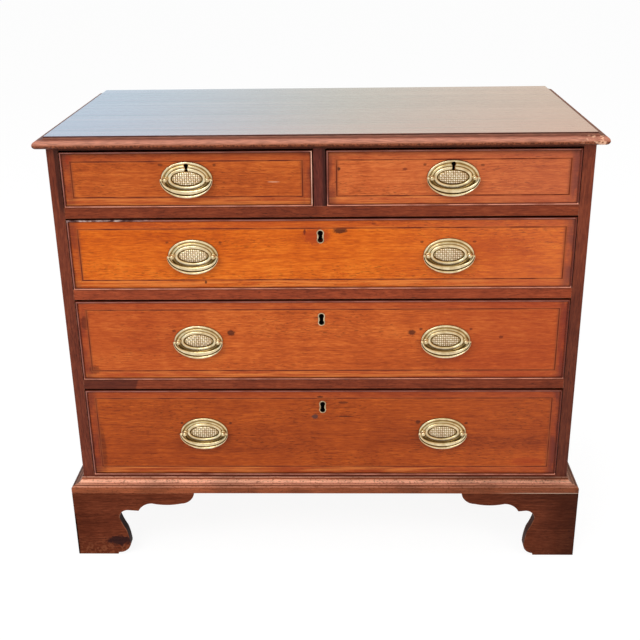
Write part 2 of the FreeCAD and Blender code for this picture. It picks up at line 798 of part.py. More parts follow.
def make_drawer_box(drawer):
    """The drawer's sides, back and bottom, and the pieces that its front has to make room for."""
    name = drawer.name
    left = "%s - %s" % (drawer.x, drawer.half)
    panel = box(name + "_panel", left + " + panel_groove", "front_back - panel_groove",
                drawer.low + " + panel_height", "2 * (%s - panel_groove)" % drawer.half,
                "drawer_depth + panel_groove", "panel_thickness")
    front_tails = dovetails(drawer, "front")
    back_tails = dovetails(drawer, "back")
    board = box(name + "_side_board", left, "front_back", drawer.low, "drawer_side_thickness",
                "drawer_depth - drawer_side_thickness", drawer.height + " - drawer_side_drop")
    side = cut(name + "_side_left", fuse(name + "_side_whole", board, *front_tails, *back_tails), panel)
    other_side = mirror_in_drawer(drawer, name + "_side_right", side)
    back_low = "%s + panel_height + panel_thickness" % drawer.low
    back_board = box(name + "_back_board", left, "drawer_back - drawer_side_thickness", back_low,
                     "2 * " + drawer.half, "drawer_side_thickness",
                     "%s - drawer_back_drop - (%s)" % (drawer.top, back_low))
    tails = group(name + "_back_tails", *back_tails)
    back = cut(name + "_back", back_board, tails,
               mirror_in_drawer(drawer, name + "_back_tails_right", tails))
    node(name + "_box", group(name + "_box_group", side, other_side, back))
    node(name + "_bottom", panel)
    sockets = group(name + "_sockets", *front_tails)
    return panel, sockets, mirror_in_drawer(drawer, name + "_sockets_right", sockets)


def lock_case(drawer, name):
    """The block that a lock fills in the drawer front."""
    return box(name, "%s - lock_width / 2" % drawer.x, "front_back - lock_thickness",
               "%s - lock_height" % drawer.top, "lock_width", "lock_thickness", "lock_height")


def inset_outline(drawer, inset):
    """The drawer front's outline drawn in by an inset, from the front's own middle bottom."""
    return rectangle("-%s + %s" % (drawer.half, inset), "%s - %s" % (drawer.half, inset),
                     inset, "%s - %s" % (drawer.height, inset))


def make_drawer_front(drawer, room):
    """The front board with its rebates, inlay groove, post holes, keyhole and lock recess."""
    name = drawer.name
    body = new_body(name + "_front_body", drawer.x, "front", drawer.low)
    edge = inset_outline(drawer, "0")
    pad(body, "XZ_Plane", "front_thickness", edge, backwards=True)
    pocket(body, "XZ_Plane", "bead_set", edge, inset_outline(drawer, "bead_thickness"))
    pocket(body, "XZ_Plane", "inlay_depth", inset_outline(drawer, "inlay_inset"),
           inset_outline(drawer, "(inlay_inset + inlay_width)"))
    holes = []
    for _, x in drawer.handles:
        for sign in "-+":
            holes.append(("%s - %s %s post_x" % (x, drawer.x, sign),
                          "%s - %s" % (drawer.handle_z, drawer.low), "shank_radius + shank_gap"))
    pocket(body, "XZ_Plane", "front_thickness", circles=holes)
    tools = [lock_case(drawer, name + "_lock_recess"), *room]
    tools.append(keyhole(name + "_keyhole", drawer, "front", "front_thickness"))
    if not drawer.short:
        tools.append(keyhole(name + "_liner_seat", drawer, "front", "liner_set", "liner_width"))
    board = cut(name + "_front_board", body, *tools)
    node(name + "_front", group(name + "_front_group", board, *inlay_strips(drawer)))


def inlay_strips(drawer):
    """Four lengths of string inlay, let in flush; the upright ones fit between the others."""
    name = drawer.name
    left = "%s - %s + inlay_inset" % (drawer.x, drawer.half)
    low = "%s + inlay_inset" % drawer.low
    bottom = box(name + "_inlay_bottom", left, "front", low,
                 "2 * (%s - inlay_inset)" % drawer.half, "inlay_depth", "inlay_width")
    top = box(name + "_inlay_top", left, "front", "%s - inlay_inset - inlay_width" % drawer.top,
              "2 * (%s - inlay_inset)" % drawer.half, "inlay_depth", "inlay_width")
    upright = box(name + "_inlay_left", left, "front", low + " + inlay_width", "inlay_width",
                  "inlay_depth", drawer.height + " - 2 * (inlay_inset + inlay_width)")
    return bottom, top, upright, mirror_in_drawer(drawer, name + "_inlay_right", upright)


def bead_section(flip):
    """A cockbead's section with its rounded nose, in the order that the sketch plane needs."""
    nose = "(-bead_proud + bead_thickness / 2)"
    points = [
        ("bead_set", "0"), (nose, "0"), ("arc", "-bead_proud", "0"),
        ("-bead_proud", "bead_thickness / 2"), ("arc", "-bead_proud", "bead_thickness"),
        (nose, "bead_thickness"), ("bead_set", "bead_thickness"),
    ]
    if not flip:
        return points
    return [item[:-2] + (item[-1], item[-2]) for item in points]


def make_cockbead(drawer):
    """Four mitred lengths of cockbeading in the front's rebates."""
    name = drawer.name
    thick = "bead_thickness"
    bottom = new_body(name + "_bead_bottom", drawer.x, "front", drawer.low)
    pad(bottom, "YZ_Plane", "2 * " + drawer.half, bead_section(False), symmetric=True)
    pocket(bottom, "XZ_Plane", None, *both_ways(
        [("-" + drawer.half, "0"), ("-%s + %s" % (drawer.half, thick), thick), ("-" + drawer.half, thick)]))
    top = mirror(name + "_bead_top", bottom, normal=(0, 0, 1),
                 at=("0", "0", "(%s + %s) / 2" % (drawer.low, drawer.top)))
    left = new_body(name + "_bead_left", "%s - %s" % (drawer.x, drawer.half), "front", drawer.low)
    pad(left, "XY_Plane", drawer.height, bead_section(True))
    pocket(left, "XZ_Plane", None,
           [("0", "0"), (thick, "0"), (thick, thick)],
           [("0", drawer.height), (thick, drawer.height), (thick, "%s - %s" % (drawer.height, thick))])
    node(name + "_cockbead", group(name + "_bead_group", bottom, top, left,
                                   mirror_in_drawer(drawer, name + "_bead_right", left)))


def make_lock(drawer):
    """The lock case with its selvedge, the keyhole liner in front and the sliding bolt."""
    name = drawer.name
    slot = box(name + "_bolt_slot", "%s - bolt_width / 2 - bolt_gap" % drawer.x, "bolt_front - bolt_gap",
               "%s - bolt_height - bolt_gap" % drawer.top, "bolt_width + 2 * bolt_gap",
               "bolt_thickness + 2 * bolt_gap", "bolt_height + bolt_gap")
    hole = keyhole(name + "_case_keyhole", drawer, "front_back - lock_thickness", "keyhole_depth")
    pieces = [cut(name + "_case", lock_case(drawer, name + "_case_blank"), slot, hole)]
    if not drawer.short:
        depth = "liner_set + liner_proud"
        rim = keyhole(name + "_liner_rim", drawer, "front - liner_proud", depth, "liner_width")
        bore = keyhole(name + "_liner_bore", drawer, "front - liner_proud", depth)
        pieces.append(cut(name + "_liner", rim, bore))
    node(name + "_lock", group(name + "_lock_group", *pieces))
    bolt = box(name + "_bolt", "%s - bolt_width / 2" % drawer.x, "bolt_front",
               "%s - bolt_height" % drawer.top, "bolt_width", "bolt_thickness", "bolt_height")
    node(name + "_lock_bolt", bolt)


# --------------------------------------------------------------------- handles

def plate_oval(name, x, z, inset):
    """A raised oval on a handle plate, drawn in from the plate's edge by an inset."""
    return oval(name, x, "front - plate_thickness", z, "plate_length / 2 - (%s)" % inset,
                "plate_height / 2 - (%s)" % inset, "relief")


def oval_ring(name, x, z, inset, width):
    """A raised oval ring on a handle plate."""
    return cut(name, plate_oval(name + "_outer", x, z, inset),
               plate_oval(name + "_inner", x, z, "%s + %s" % (inset, width)))


def make_plate(drawer, name, x, z):
    """The oval plate with its rim, band and ring, its domed middle and its holes."""
    base = oval(name + "_base", x, "front", z, "plate_length / 2", "plate_height / 2", "plate_thickness")
    rim = oval_ring(name + "_rim", x, z, "0", "rim_width")
    band = oval_ring(name + "_band", x, z, "band_inset", "band_width")
    ring = oval_ring(name + "_ring", x, z, "ring_inset", "ring_width")
    medallion = plate_oval(name + "_medallion", x, z, "medallion_inset")
    holes = [cylinder("%s_hole_%d" % (name, number), ALONG_Y, "%s %s post_x" % (x, sign),
                      "front - plate_thickness - relief", z, "shank_radius + shank_gap",
                      "plate_thickness + relief")
             for number, sign in enumerate("-+", start=1)]
    if drawer.short:
        holes.append(keyhole(name + "_keyhole", drawer, "front - plate_thickness - relief",
                             "plate_thickness + relief"))
    return cut(name, fuse(name + "_whole", base, rim, band, ring, medallion), *holes)


def make_post(name, x, z):
    """One turned post with its shank through the front, and the nut that holds it."""
    seat = "(front - plate_thickness - relief)"
    flange = cylinder(name + "_flange", ALONG_Y, x, seat + " - post_flange_height", z,
                      "post_flange_radius", "post_flange_height")
    neck = cylinder(name + "_neck", ALONG_Y, x, "bail_axis", z, "post_neck_radius", seat + " - bail_axis")
    ball = doc.addObject("Part::Sphere", name + "_ball")
    bind(ball, Radius="post_ball_radius")
    place(ball, x, "bail_axis", z)
    shank_end = "(front_back + nut_thickness + shank_tip)"
    shank = cylinder(name + "_shank", ALONG_Y, x, seat, z, "shank_radius", "%s - %s" % (shank_end, seat))
    eye = cylinder(name + "_eye", ALONG_X, x + " - post_ball_radius", "bail_axis", z,
                   "pin_radius + pin_gap", "2 * post_ball_radius")
    post = cut(name, fuse(name + "_whole", flange, neck, ball, shank), eye)
    blank = doc.addObject("Part::Prism", name + "_nut_blank")
    blank.Polygon = 6
    blank.Placement.Rotation = ALONG_Y
    bind(blank, Circumradius="nut_radius", Height="nut_thickness")
    place(blank, x, "front_back", z)
    bore = cylinder(name + "_nut_bore", ALONG_Y, x, "front_back", z,
                    "shank_radius + thread_gap", "nut_thickness")
    return post, cut(name + "_nut", blank, bore)


def make_bail(name, x, z):
    """The swinging bail: a crescent below its hinge line with a pin at each end."""
    back = "(bail_axis + bail_thickness / 2)"
    outer = oval(name + "_outer", x, back, z, "bail_width / 2", "bail_drop", "bail_thickness")
    inner = oval(name + "_inner", x, back, z, "eye_x", "bail_drop - bail_bottom_width", "bail_thickness")
    below = box(name + "_below", x + " - bail_width / 2", "bail_axis - bail_thickness / 2",
                z + " - bail_drop", "bail_width", "bail_thickness", "bail_drop")
    crescent = common(name + "_crescent", cut(name + "_loop", outer, inner), below)
    knuckle = cylinder(name + "_knuckle", ALONG_X, x + " + eye_x", "bail_axis", z,
                       "knuckle_radius", "bail_width / 2 - eye_x")
    pin = cylinder(name + "_pin", ALONG_X, x + " + eye_x - pin_reach", "bail_axis", z,
                   "pin_radius", "pin_reach")
    ends = [mirror(piece.Name + "_left", piece, at=(x, "0", "0")) for piece in (knuckle, pin)]
    return fuse(name, crescent, knuckle, pin, *ends)


def make_handles(drawer):
    """Plates, posts and nuts in one node for the drawer, and each bail in its own."""
    pieces = []
    for hand, x in drawer.handles:
        name = "%s_%s" % (drawer.name, hand)
        pieces.append(make_plate(drawer, name + "_plate", x, drawer.handle_z))
        for sign, side in ("-", "a"), ("+", "b"):
            pieces += make_post("%s_post_%s" % (name, side), "%s %s post_x" % (x, sign), drawer.handle_z)
        label = drawer.name + "_bail" if drawer.short else "%s_bail_%s" % (drawer.name, hand)
        node(label, make_bail(name + "_bail", x, drawer.handle_z))
    node(drawer.name + "_handle_plates", group(drawer.name + "_plates_group", *pieces))


# ------------------------------------------------------------------------ whole

def check_model():
    """Stop if an object failed, or a sub-part is empty or not valid."""
    for thing in doc.Objects:
        if "Invalid" in thing.State or "Error" in thing.State:
            raise RuntimeError("%s failed: %s" % (thing.Name, thing.State))
    for thing in nodes:
        if thing.Shape.isNull() or not thing.Shape.Solids or not thing.Shape.isValid():
            raise RuntimeError("%s has no valid solid" % thing.Label)


def write_parts():
    """Write each sub-part to its own file."""
    os.makedirs("parts", exist_ok=True)
    for thing in nodes:
        thing.Shape.exportStep("parts/%s.step" % thing.Label)
        print(thing.Label, len(thing.Shape.Solids), round(thing.Shape.Volume / 1000, 1), "cm3")
    print(len(nodes), "sub-parts")


write_sizes()
make_sides()
make_bottom()
dust_boards = make_dustboards()
make_rails(dust_boards)
make_divider()
make_top_rails()
make_runners(dust_boards)
make_stops()
make_back()
make_top()
make_base_moulding()
make_feet()
for entry in DRAWERS:
    chest_drawer = Drawer(*entry)
    make_drawer_front(chest_drawer, make_drawer_box(chest_drawer))
    make_cockbead(chest_drawer)
    make_lock(chest_drawer)
    make_handles(chest_drawer)
doc.recompute()
check_model()
write_parts()
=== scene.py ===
"""Looks for the bachelor's chest: polished mahogany, string inlay and oval brass handles.

Metres, +Z up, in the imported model's frame.  The chest's front faces -Y.  Colours are display
values, 0-255 for each channel.  A dress function adds what one surface has besides its grain.
"""
import json
import math

import bmesh
import bpy
from mathutils import Matrix, Vector

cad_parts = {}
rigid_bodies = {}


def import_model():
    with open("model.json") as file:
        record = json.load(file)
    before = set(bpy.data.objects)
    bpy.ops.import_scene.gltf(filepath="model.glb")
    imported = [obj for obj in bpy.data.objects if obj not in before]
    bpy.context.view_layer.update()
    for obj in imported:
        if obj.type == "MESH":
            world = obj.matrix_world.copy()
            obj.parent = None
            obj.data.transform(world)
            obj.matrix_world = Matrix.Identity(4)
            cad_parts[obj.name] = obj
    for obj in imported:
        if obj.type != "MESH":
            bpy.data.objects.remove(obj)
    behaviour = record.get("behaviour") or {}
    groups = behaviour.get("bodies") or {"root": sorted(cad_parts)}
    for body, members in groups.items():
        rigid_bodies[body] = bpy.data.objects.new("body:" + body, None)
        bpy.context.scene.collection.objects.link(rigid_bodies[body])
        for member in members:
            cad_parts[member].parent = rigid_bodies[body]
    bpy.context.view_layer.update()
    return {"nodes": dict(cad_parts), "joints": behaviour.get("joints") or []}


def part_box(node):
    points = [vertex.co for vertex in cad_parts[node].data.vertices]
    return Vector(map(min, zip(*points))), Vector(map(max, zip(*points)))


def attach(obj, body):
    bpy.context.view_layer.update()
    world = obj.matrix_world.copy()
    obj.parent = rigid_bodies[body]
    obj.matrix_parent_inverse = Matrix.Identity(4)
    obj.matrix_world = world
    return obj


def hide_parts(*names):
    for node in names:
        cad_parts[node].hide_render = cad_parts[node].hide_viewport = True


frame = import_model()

MM = 0.001
NODES = frame["nodes"]
JOINTS = {joint["child"]: joint for joint in frame["joints"]}
DRAWERS = ("drawer_1_left", "drawer_1_right", "drawer_2", "drawer_3", "drawer_4")
FRONT_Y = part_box("drawer_rails")[0].y


# ------------------------------ shader kit

class Look:
    """The node tree of a material or a world, with the colour that it has so far."""

    def __init__(self, owner, space="Object"):
        owner.use_nodes = True
        self.owner = owner
        self.tree = owner.node_tree
        self.tree.nodes.clear()
        self.place = self.node("ShaderNodeTexCoord").outputs[space]
        self.xyz = tuple(self.node("ShaderNodeSeparateXYZ", {0: self.place}).outputs)
        self.colour = None

    def node(self, kind, inputs=None, **settings):
        """A new node; inputs are values or other nodes' sockets, by name or number."""
        made = self.tree.nodes.new(kind)
        for key, setting in settings.items():
            setattr(made, key, setting)
        for key, given in (inputs or {}).items():
            if isinstance(given, bpy.types.NodeSocket):
                self.tree.links.new(given, made.inputs[key])
            else:
                made.inputs[key].default_value = given
        return made

    def math(self, operation, first, second=0.0, third=0.0, clamp=False):
        """One step of arithmetic."""
        return self.node("ShaderNodeMath", {0: first, 1: second, 2: third},
                         operation=operation, use_clamp=clamp).outputs[0]

    def times(self, product, *factors):
        """The product of several values."""
        for factor in factors:
            product = self.math("MULTIPLY", product, factor)
        return product

    def minus(self, first, second):
        """The difference of two values."""
        return self.math("SUBTRACT", first, second)

    def apart(self, first, second):
        """How far apart two values are."""
        return self.math("ABSOLUTE", self.minus(first, second))

    def shaken(self, given, noise, amount):
        """A value that noise moves up and down."""
        return self.math("MULTIPLY_ADD", self.minus(noise, 0.5), amount, given)

    def vector(self, operation, first, second=(0, 0, 0), output=0):
        """One step of arithmetic on places."""
        return self.node("ShaderNodeVectorMath", {0: first, 1: second},
                         operation=operation).outputs[output]

    def reach(self, x, z, half_width=1, half_height=1):
        """How far away an x and z are, counted in half widths and half heights."""
        shifted = self.vector("SUBTRACT", self.place, (x, 0, z))
        flat = self.vector("MULTIPLY", shifted, (1 / half_width, 0, 1 / half_height))
        return self.vector("LENGTH", flat, output="Value")

    def attribute(self, name):
        """A value that the mesh carries."""
        return self.node("ShaderNodeAttribute", attribute_name=name).outputs["Fac"]

    def noise(self, scale, detail=2.0, roughness=0.5, place=None, output="Fac"):
        """Noise about 0.5; its scale is one number, or one for each axis."""
        place = place or self.place
        if isinstance(scale, tuple):
            place, scale = self.vector("MULTIPLY", place, scale), 1.0
        return self.node("ShaderNodeTexNoise", {"Vector": place, "Scale": scale, "Detail": detail,
                                                "Roughness": roughness}).outputs[output]

    def ramp(self, factor, *stops):
        """Colours along a factor, as (position, colour) pairs."""
        made = self.node("ShaderNodeValToRGB", {"Fac": factor})
        elements = made.color_ramp.elements
        while len(elements) < len(stops):
            elements.new(0.5)
        for element, (position, colour) in zip(elements, stops):
            element.position = position
            element.color = rgba(colour)
        return made.outputs["Color"]

    def span(self, given, low, high, to_low=0.0, to_high=1.0):
        """A smooth step from to_low to to_high as the given value goes from low to high."""
        return self.node("ShaderNodeMapRange", {"Value": given, "From Min": low, "From Max": high,
                                                "To Min": to_low, "To Max": to_high},
                         interpolation_type="SMOOTHSTEP").outputs["Result"]

    def mix(self, share, first, second, blend="MIX"):
        """The first colour, with a share of the second."""
        return self.node("ShaderNodeMix", {0: share, 6: rgba(first), 7: rgba(second)},
                         data_type="RGBA", blend_type=blend, clamp_factor=True).outputs[2]

    def lay(self, tint, share, blend="MIX"):
        """Lay a share of a tint over the colour."""
        self.colour = self.mix(share, self.colour, tint, blend)

    def darken(self, factor):
        """Multiply the colour by a factor."""
        grey = self.node("ShaderNodeCombineColor", {0: factor, 1: factor, 2: factor})
        self.lay(grey.outputs[0], 1.0, "MULTIPLY")

    def shade(self, where, share):
        """Take a share of the colour's light away where a mask is 1."""
        self.darken(self.math("MULTIPLY_ADD", where, -share, 1.0))

    def surface(self, socket, output="ShaderNodeOutputMaterial"):
        """End with a surface."""
        self.tree.links.new(socket, self.node(output).inputs["Surface"])
        return self.owner

    def finish(self, relief, depth, **principled):
        """End with one Principled shader that has the colour so far and a relief."""
        bump = self.node("ShaderNodeBump", {"Height": relief, "Distance": depth}).outputs[0]
        inputs = {key.replace("_", " "): given for key, given in principled.items()}
        return self.surface(self.node("ShaderNodeBsdfPrincipled", {
            "Base Color": self.colour, "Normal": bump, **inputs}).outputs[0])


def linear(channel):
    """One 0-255 display value as linear light."""
    share = channel / 255
    return share / 12.92 if share <= 0.04045 else ((share + 0.055) / 1.055) ** 2.4


def rgba(colour):
    """A display colour as the linear colour that a node takes; a socket stays as it is."""
    if isinstance(colour, bpy.types.NodeSocket):
        return colour
    return tuple(linear(channel) for channel in colour) + (1.0,)


# ------------------------------ wood

# which axis runs along the grain, then the two across it
TURNS = {"X": (0, 1, 2), "Y": (1, 0, 2), "Z": (2, 1, 0)}
# how the grain wanders: the noise's scale, and how far each axis bends
WANDER_SCALE = (2.6, 8, 8)
WANDER_REACH = (0, 0.03, 0.03)
# layers of the grain: scale along and across it, detail, roughness, share of the tone
GRAIN_LAYERS = {
    "broad streaks": ((1.1, 20, 20), 3.0, 0.6, 0.32),
    "grain lines": ((7, 300, 300), 4.0, 0.68, 0.36),
    "fibres": ((60, 520, 520), 3.0, 0.6, 0.50),
    "cross figure": ((24, 12, 12), 3.0, 0.5, 0.20),
}
# where a wood's dark, middle and light tones lie
TONE_PLACES = (0.30, 0.50, 0.70)
PORE_SCALE = (110, 1100, 1100)
PORE_CROWD_SCALE = (5, 26, 26)
PORE_STEEPNESS = 14.0
WOOD_RELIEF = 0.1 * MM


def grain_space(look, along, offset):
    """Places turned so that the grain runs along the first axis, and gently bent."""
    parts = {number: look.xyz[axis] for number, axis in enumerate(TURNS[along])}
    turned = look.vector("ADD", look.node("ShaderNodeCombineXYZ", parts).outputs[0], offset)
    wander = look.noise(WANDER_SCALE, 3.0, place=turned, output="Color")
    bend = look.vector("SUBTRACT", wander, (0.5, 0.5, 0.5))
    return look.vector("ADD", turned, look.vector("MULTIPLY", bend, WANDER_REACH))


def pores(look, space):
    """Short dark dashes along the grain: 1 in a pore."""
    specks = look.noise(PORE_SCALE, 1.5, place=space)
    limit = look.span(look.noise(PORE_CROWD_SCALE, place=space), 0.35, 0.65, 0.70, 0.58)
    return look.math("MULTIPLY", look.minus(specks, limit), PORE_STEEPNESS, clamp=True)


def wood(name, *tones, along="X", offset=(0, 0, 0), roughness=0.34, specular=0.15, coat=0.0,
         worn=None, dress=None, pore=0.5):
    """Polished or bare wood; worn is its colour where the mesh is marked as rubbed."""
    look = Look(bpy.data.materials.new(name))
    space = grain_space(look, along, offset)
    level, layers = 0.5, {}
    for layer, (*settings, share) in GRAIN_LAYERS.items():
        layers[layer] = look.noise(*settings, place=space)
        level = look.shaken(level, layers[layer], share)
    look.colour = look.ramp(level, *zip(TONE_PLACES, tones))
    look.shade(pores(look, space), pore)
    if worn:
        ragged = look.span(look.noise(130.0, 3.0), 0.38, 0.6)
        look.lay(worn, look.times(look.attribute("worn"), ragged))
    if dress:
        dress(look)
    waves = look.times(look.noise(16.0), 0.8)
    return look.finish(
        look.math("MULTIPLY_ADD", layers["fibres"], 0.25, waves), WOOD_RELIEF,
        Roughness=look.span(level, 0.3, 0.7, roughness + 0.05, roughness - 0.04),
        IOR=1.5, Specular_IOR_Level=specular, Coat_Weight=coat, Coat_Roughness=0.1)


# ------------------------------ drawer fronts

# distances in from a front's edge
INLAY_MIDDLE = 16.8 * MM
BORDER = (INLAY_MIDDLE, INLAY_MIDDLE - 1.5 * MM)
GRIMY_END = (26 * MM, 6 * MM)
RIM_SHADE = (3 * MM, 5.5 * MM)
SHADE_UNDER_TOP = (13 * MM, 2 * MM)
# distances from the inlay's middle: its line, its pale string, and the shade beside it
INLAY_LINE = (1.45 * MM, 1.015 * MM)
INLAY_STRING = (2.6 * MM, 1.56 * MM)
INLAY_SHADE = (4.4 * MM, 0.8 * MM)
# the inside of a keyhole, painted dark as shade: depth in the front, and half its width
BORE_DEPTH = (0.6 * MM, 1.0 * MM)
BORE_HALF = (8 * MM, 7 * MM)
INLAY_COLOUR = (104, 36, 14)
STRING_COLOUR = (246, 144, 72)
BESIDE_INLAY = (104, 42, 20)
BORDER_RED = (150, 58, 38)
RUBBED_GOLD = (244, 150, 72)
GRIME = (88, 34, 30)
RIGHT_SHEEN = (168, 104, 92)
BORE_SHADE = (8, 5, 4)

HOLE = (52, 18, 10)
PLUG = (112, 44, 24)
RED = (150, 46, 18)
GREY = (84, 52, 44)
CHIP = (226, 196, 168)
# for each drawer: x and z of the middle, half width and half height in mm, colour, strength
STAINS = {
    "drawer_1_left": (
        (-262.8, 750.8, 4.2, 2.2, HOLE, 0.55), (-173.5, 750.1, 3.0, 2.2, HOLE, 0.6),
        (-76.0, 721.0, 9.0, 1.0, CHIP, 0.35), (-414.0, 760.0, 5.0, 9.0, RED, 0.5),
    ),
    "drawer_1_right": (
        (173.1, 748.2, 2.8, 2.2, HOLE, 0.6), (267.8, 746.7, 3.2, 2.0, HOLE, 0.55),
        (31.6, 741.8, 3.0, 3.0, HOLE, 0.85), (140.6, 741.0, 4.0, 2.2, PLUG, 0.8),
        (27.0, 720.0, 1.8, 1.8, HOLE, 0.7),
    ),
    "drawer_2": (
        (-260.7, 617.1, 2.6, 2.0, HOLE, 0.6), (-170.4, 616.4, 3.0, 2.0, HOLE, 0.6),
        (171.6, 615.5, 2.8, 2.0, HOLE, 0.6), (260.0, 615.8, 2.8, 2.0, HOLE, 0.6),
        (-26.6, 634.2, 2.0, 5.0, HOLE, 0.8), (33.3, 636.3, 11.5, 5.2, HOLE, 0.85),
        (-7.0, 627.0, 22.0, 15.0, RED, 0.6), (-198.3, 545.5, 2.2, 3.0, HOLE, 0.8),
        (90.0, 648.0, 4.0, 1.6, HOLE, 0.5), (300.0, 600.0, 60.0, 25.0, RED, 0.25),
    ),
    "drawer_3": (
        (-259.9, 454.1, 3.6, 2.4, HOLE, 0.65), (-159.5, 449.9, 7.0, 5.2, HOLE, 0.8),
        (158.3, 449.8, 6.6, 4.8, HOLE, 0.8), (173.8, 456.4, 2.8, 2.2, HOLE, 0.7),
        (260.9, 456.1, 2.8, 2.2, HOLE, 0.7), (313.9, 440.7, 4.0, 2.8, HOLE, 0.7),
        (330.0, 440.0, 140.0, 90.0, RED, 0.30), (-340.0, 440.0, 130.0, 90.0, RED, 0.22),
        (-417.0, 470.0, 6.0, 13.0, HOLE, 0.5), (-408.0, 379.0, 10.0, 8.0, HOLE, 0.5),
    ),
    "drawer_4": (
        (-257.7, 271.7, 2.6, 2.2, HOLE, 0.65), (-168.8, 271.6, 2.8, 2.0, HOLE, 0.7),
        (172.9, 273.4, 4.6, 4.0, HOLE, 0.7), (259.9, 271.3, 3.0, 2.2, HOLE, 0.7),
        (-4.5, 324.3, 5.0, 2.4, HOLE, 0.7), (-14.1, 284.8, 5.8, 4.4, GREY, 0.9),
        (36.9, 313.1, 9.0, 2.4, HOLE, 0.6), (42.0, 285.0, 12.0, 1.6, HOLE, 0.6),
        (375.0, 190.0, 30.0, 10.0, RED, 0.4), (-408.5, 220.0, 7.0, 44.0, HOLE, 0.38),
    ),
}
# dark, middle and light tones for each drawer front
FRONT_TONES = {
    "drawer_1_left": ((134, 52, 16), (178, 82, 28), (211, 112, 44)),
    "drawer_1_right": ((146, 59, 24), (190, 92, 42), (220, 122, 62)),
    "drawer_2": ((160, 61, 8), (204, 94, 14), (233, 129, 34)),
    "drawer_3": ((136, 51, 15), (184, 83, 28), (217, 115, 46)),
    "drawer_4": ((118, 43, 9), (160, 68, 17), (195, 94, 28)),
}


def spot(look, ragged, x, z, half_width, half_height, tint, strength):
    """A small stain, plug or filled hole on a face that looks to the front."""
    reach = look.reach(x * MM, z * MM, half_width * MM, half_height * MM)
    reach = look.math("ADD", reach, ragged)
    look.lay(tint, look.span(reach, 1.3, 0.7, 0.0, strength))


def front_dress(node, stains):
    """What a drawer front has besides its grain: inlay, grime at the edges, painted shade and a
    painted sheen, and old stains.
    """
    low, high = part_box(node)
    sheen_share = 0.18 if node.startswith(("drawer_1", "drawer_2")) else 0.04

    def dress(look):
        x, y, z = look.xyz
        from_ends, from_rims = (
            look.minus((last - first) / 2, look.apart(place, (first + last) / 2))
            for place, first, last in ((x, low.x, high.x), (z, low.z, high.z)))
        inside = look.math("MINIMUM", from_ends, from_rims)
        look.lay(BORDER_RED, look.span(inside, *BORDER, 0.0, 0.28))
        flecks = look.span(look.noise((11, 1, 330)), 0.42, 0.62, 0.0, 0.36)
        look.lay(RUBBED_GOLD, look.times(look.span(look.minus(z, low.z), *BORDER),
                                         look.span(x, 0.36, 0.24, 0.1, 1.0), flecks))
        dirt = look.span(look.noise((60, 60, 22), 3.0), 0.36, 0.58, 0.2, 1.0)
        look.lay(GRIME, look.times(look.span(from_ends, *GRIMY_END), dirt,
                                   look.span(x, 0.2, 0.4, 0.6, 0.8)))
        # painted shade along the front's edge, in the corner against the proud bead
        look.darken(look.span(inside, *RIM_SHADE, 0.62, 1.0))
        # a painted sheen of reflected light towards the right, stronger on the upper drawers
        look.lay(RIGHT_SHEEN, look.span(x, 0.05, 0.42, 0.0, sheen_share))
        if node.startswith("drawer_1"):
            look.darken(look.span(look.minus(high.z, z), *SHADE_UNDER_TOP, 1.0, 0.5))
        # the keyhole's bore inside the front is painted dark as shade
        bore = look.times(look.span(look.minus(y, FRONT_Y), *BORE_DEPTH),
                          look.span(look.apart(x, (low.x + high.x) / 2), *BORE_HALF))
        look.lay(BORE_SHADE, bore)
        ragged = look.shaken(0.0, look.noise(420.0), 0.9)
        for stain in stains:
            spot(look, ragged, *stain)
        off = look.apart(inside, INLAY_MIDDLE)
        upright = look.span(look.minus(from_rims, from_ends), -1 * MM, 0.0)
        look.lay(BESIDE_INLAY, look.times(upright, look.span(off, *INLAY_SHADE, 0.0, 0.5)))
        look.lay(STRING_COLOUR, look.span(off, *INLAY_STRING, 0.0, 0.14))
        faded = look.span(look.noise(26.0), 0.35, 0.6, 0.6, 1.0)
        look.lay(INLAY_COLOUR, look.times(look.span(off, *INLAY_LINE), faded))
    return dress


# how proud of the front a bead's crest and its foot lie: the crest carries a painted highlight,
# partly real rubbing, and the foot painted shade
BEAD_CREST = (2.64 * MM, 2.96 * MM)
BEAD_FOOT = (0.4 * MM, 1.6 * MM)
# how far the beads reach inwards from their outer edge
BEAD_REACH = (4 * MM, 3.2 * MM)
# painted highlights on the beads' crests, partly real rubbing; the right beads' crest is dimmed as
# painted shade, except on the short left drawer where it is bright
CREST_HIGHLIGHT = (158, 104, 92)
LOWER_CREST_HIGHLIGHT = (222, 150, 124)
RIGHT_CREST_IN_SHADE = (104, 52, 42)
BRIGHT_RIGHT_CREST_HIGHLIGHT = (238, 186, 160)
# the chipped end of drawer 2's upper bead: x, distance down, how proud, and its tones
CHIPPED_X = (-0.27, -0.33)
CHIPPED_DOWN = (5 * MM, 4 * MM)
CHIPPED_PROUD = (1.0 * MM, 1.6 * MM)
CHIP_TONES = ((0.40, (44, 22, 24)), (0.52, (136, 108, 104)), (0.62, (186, 168, 162)))


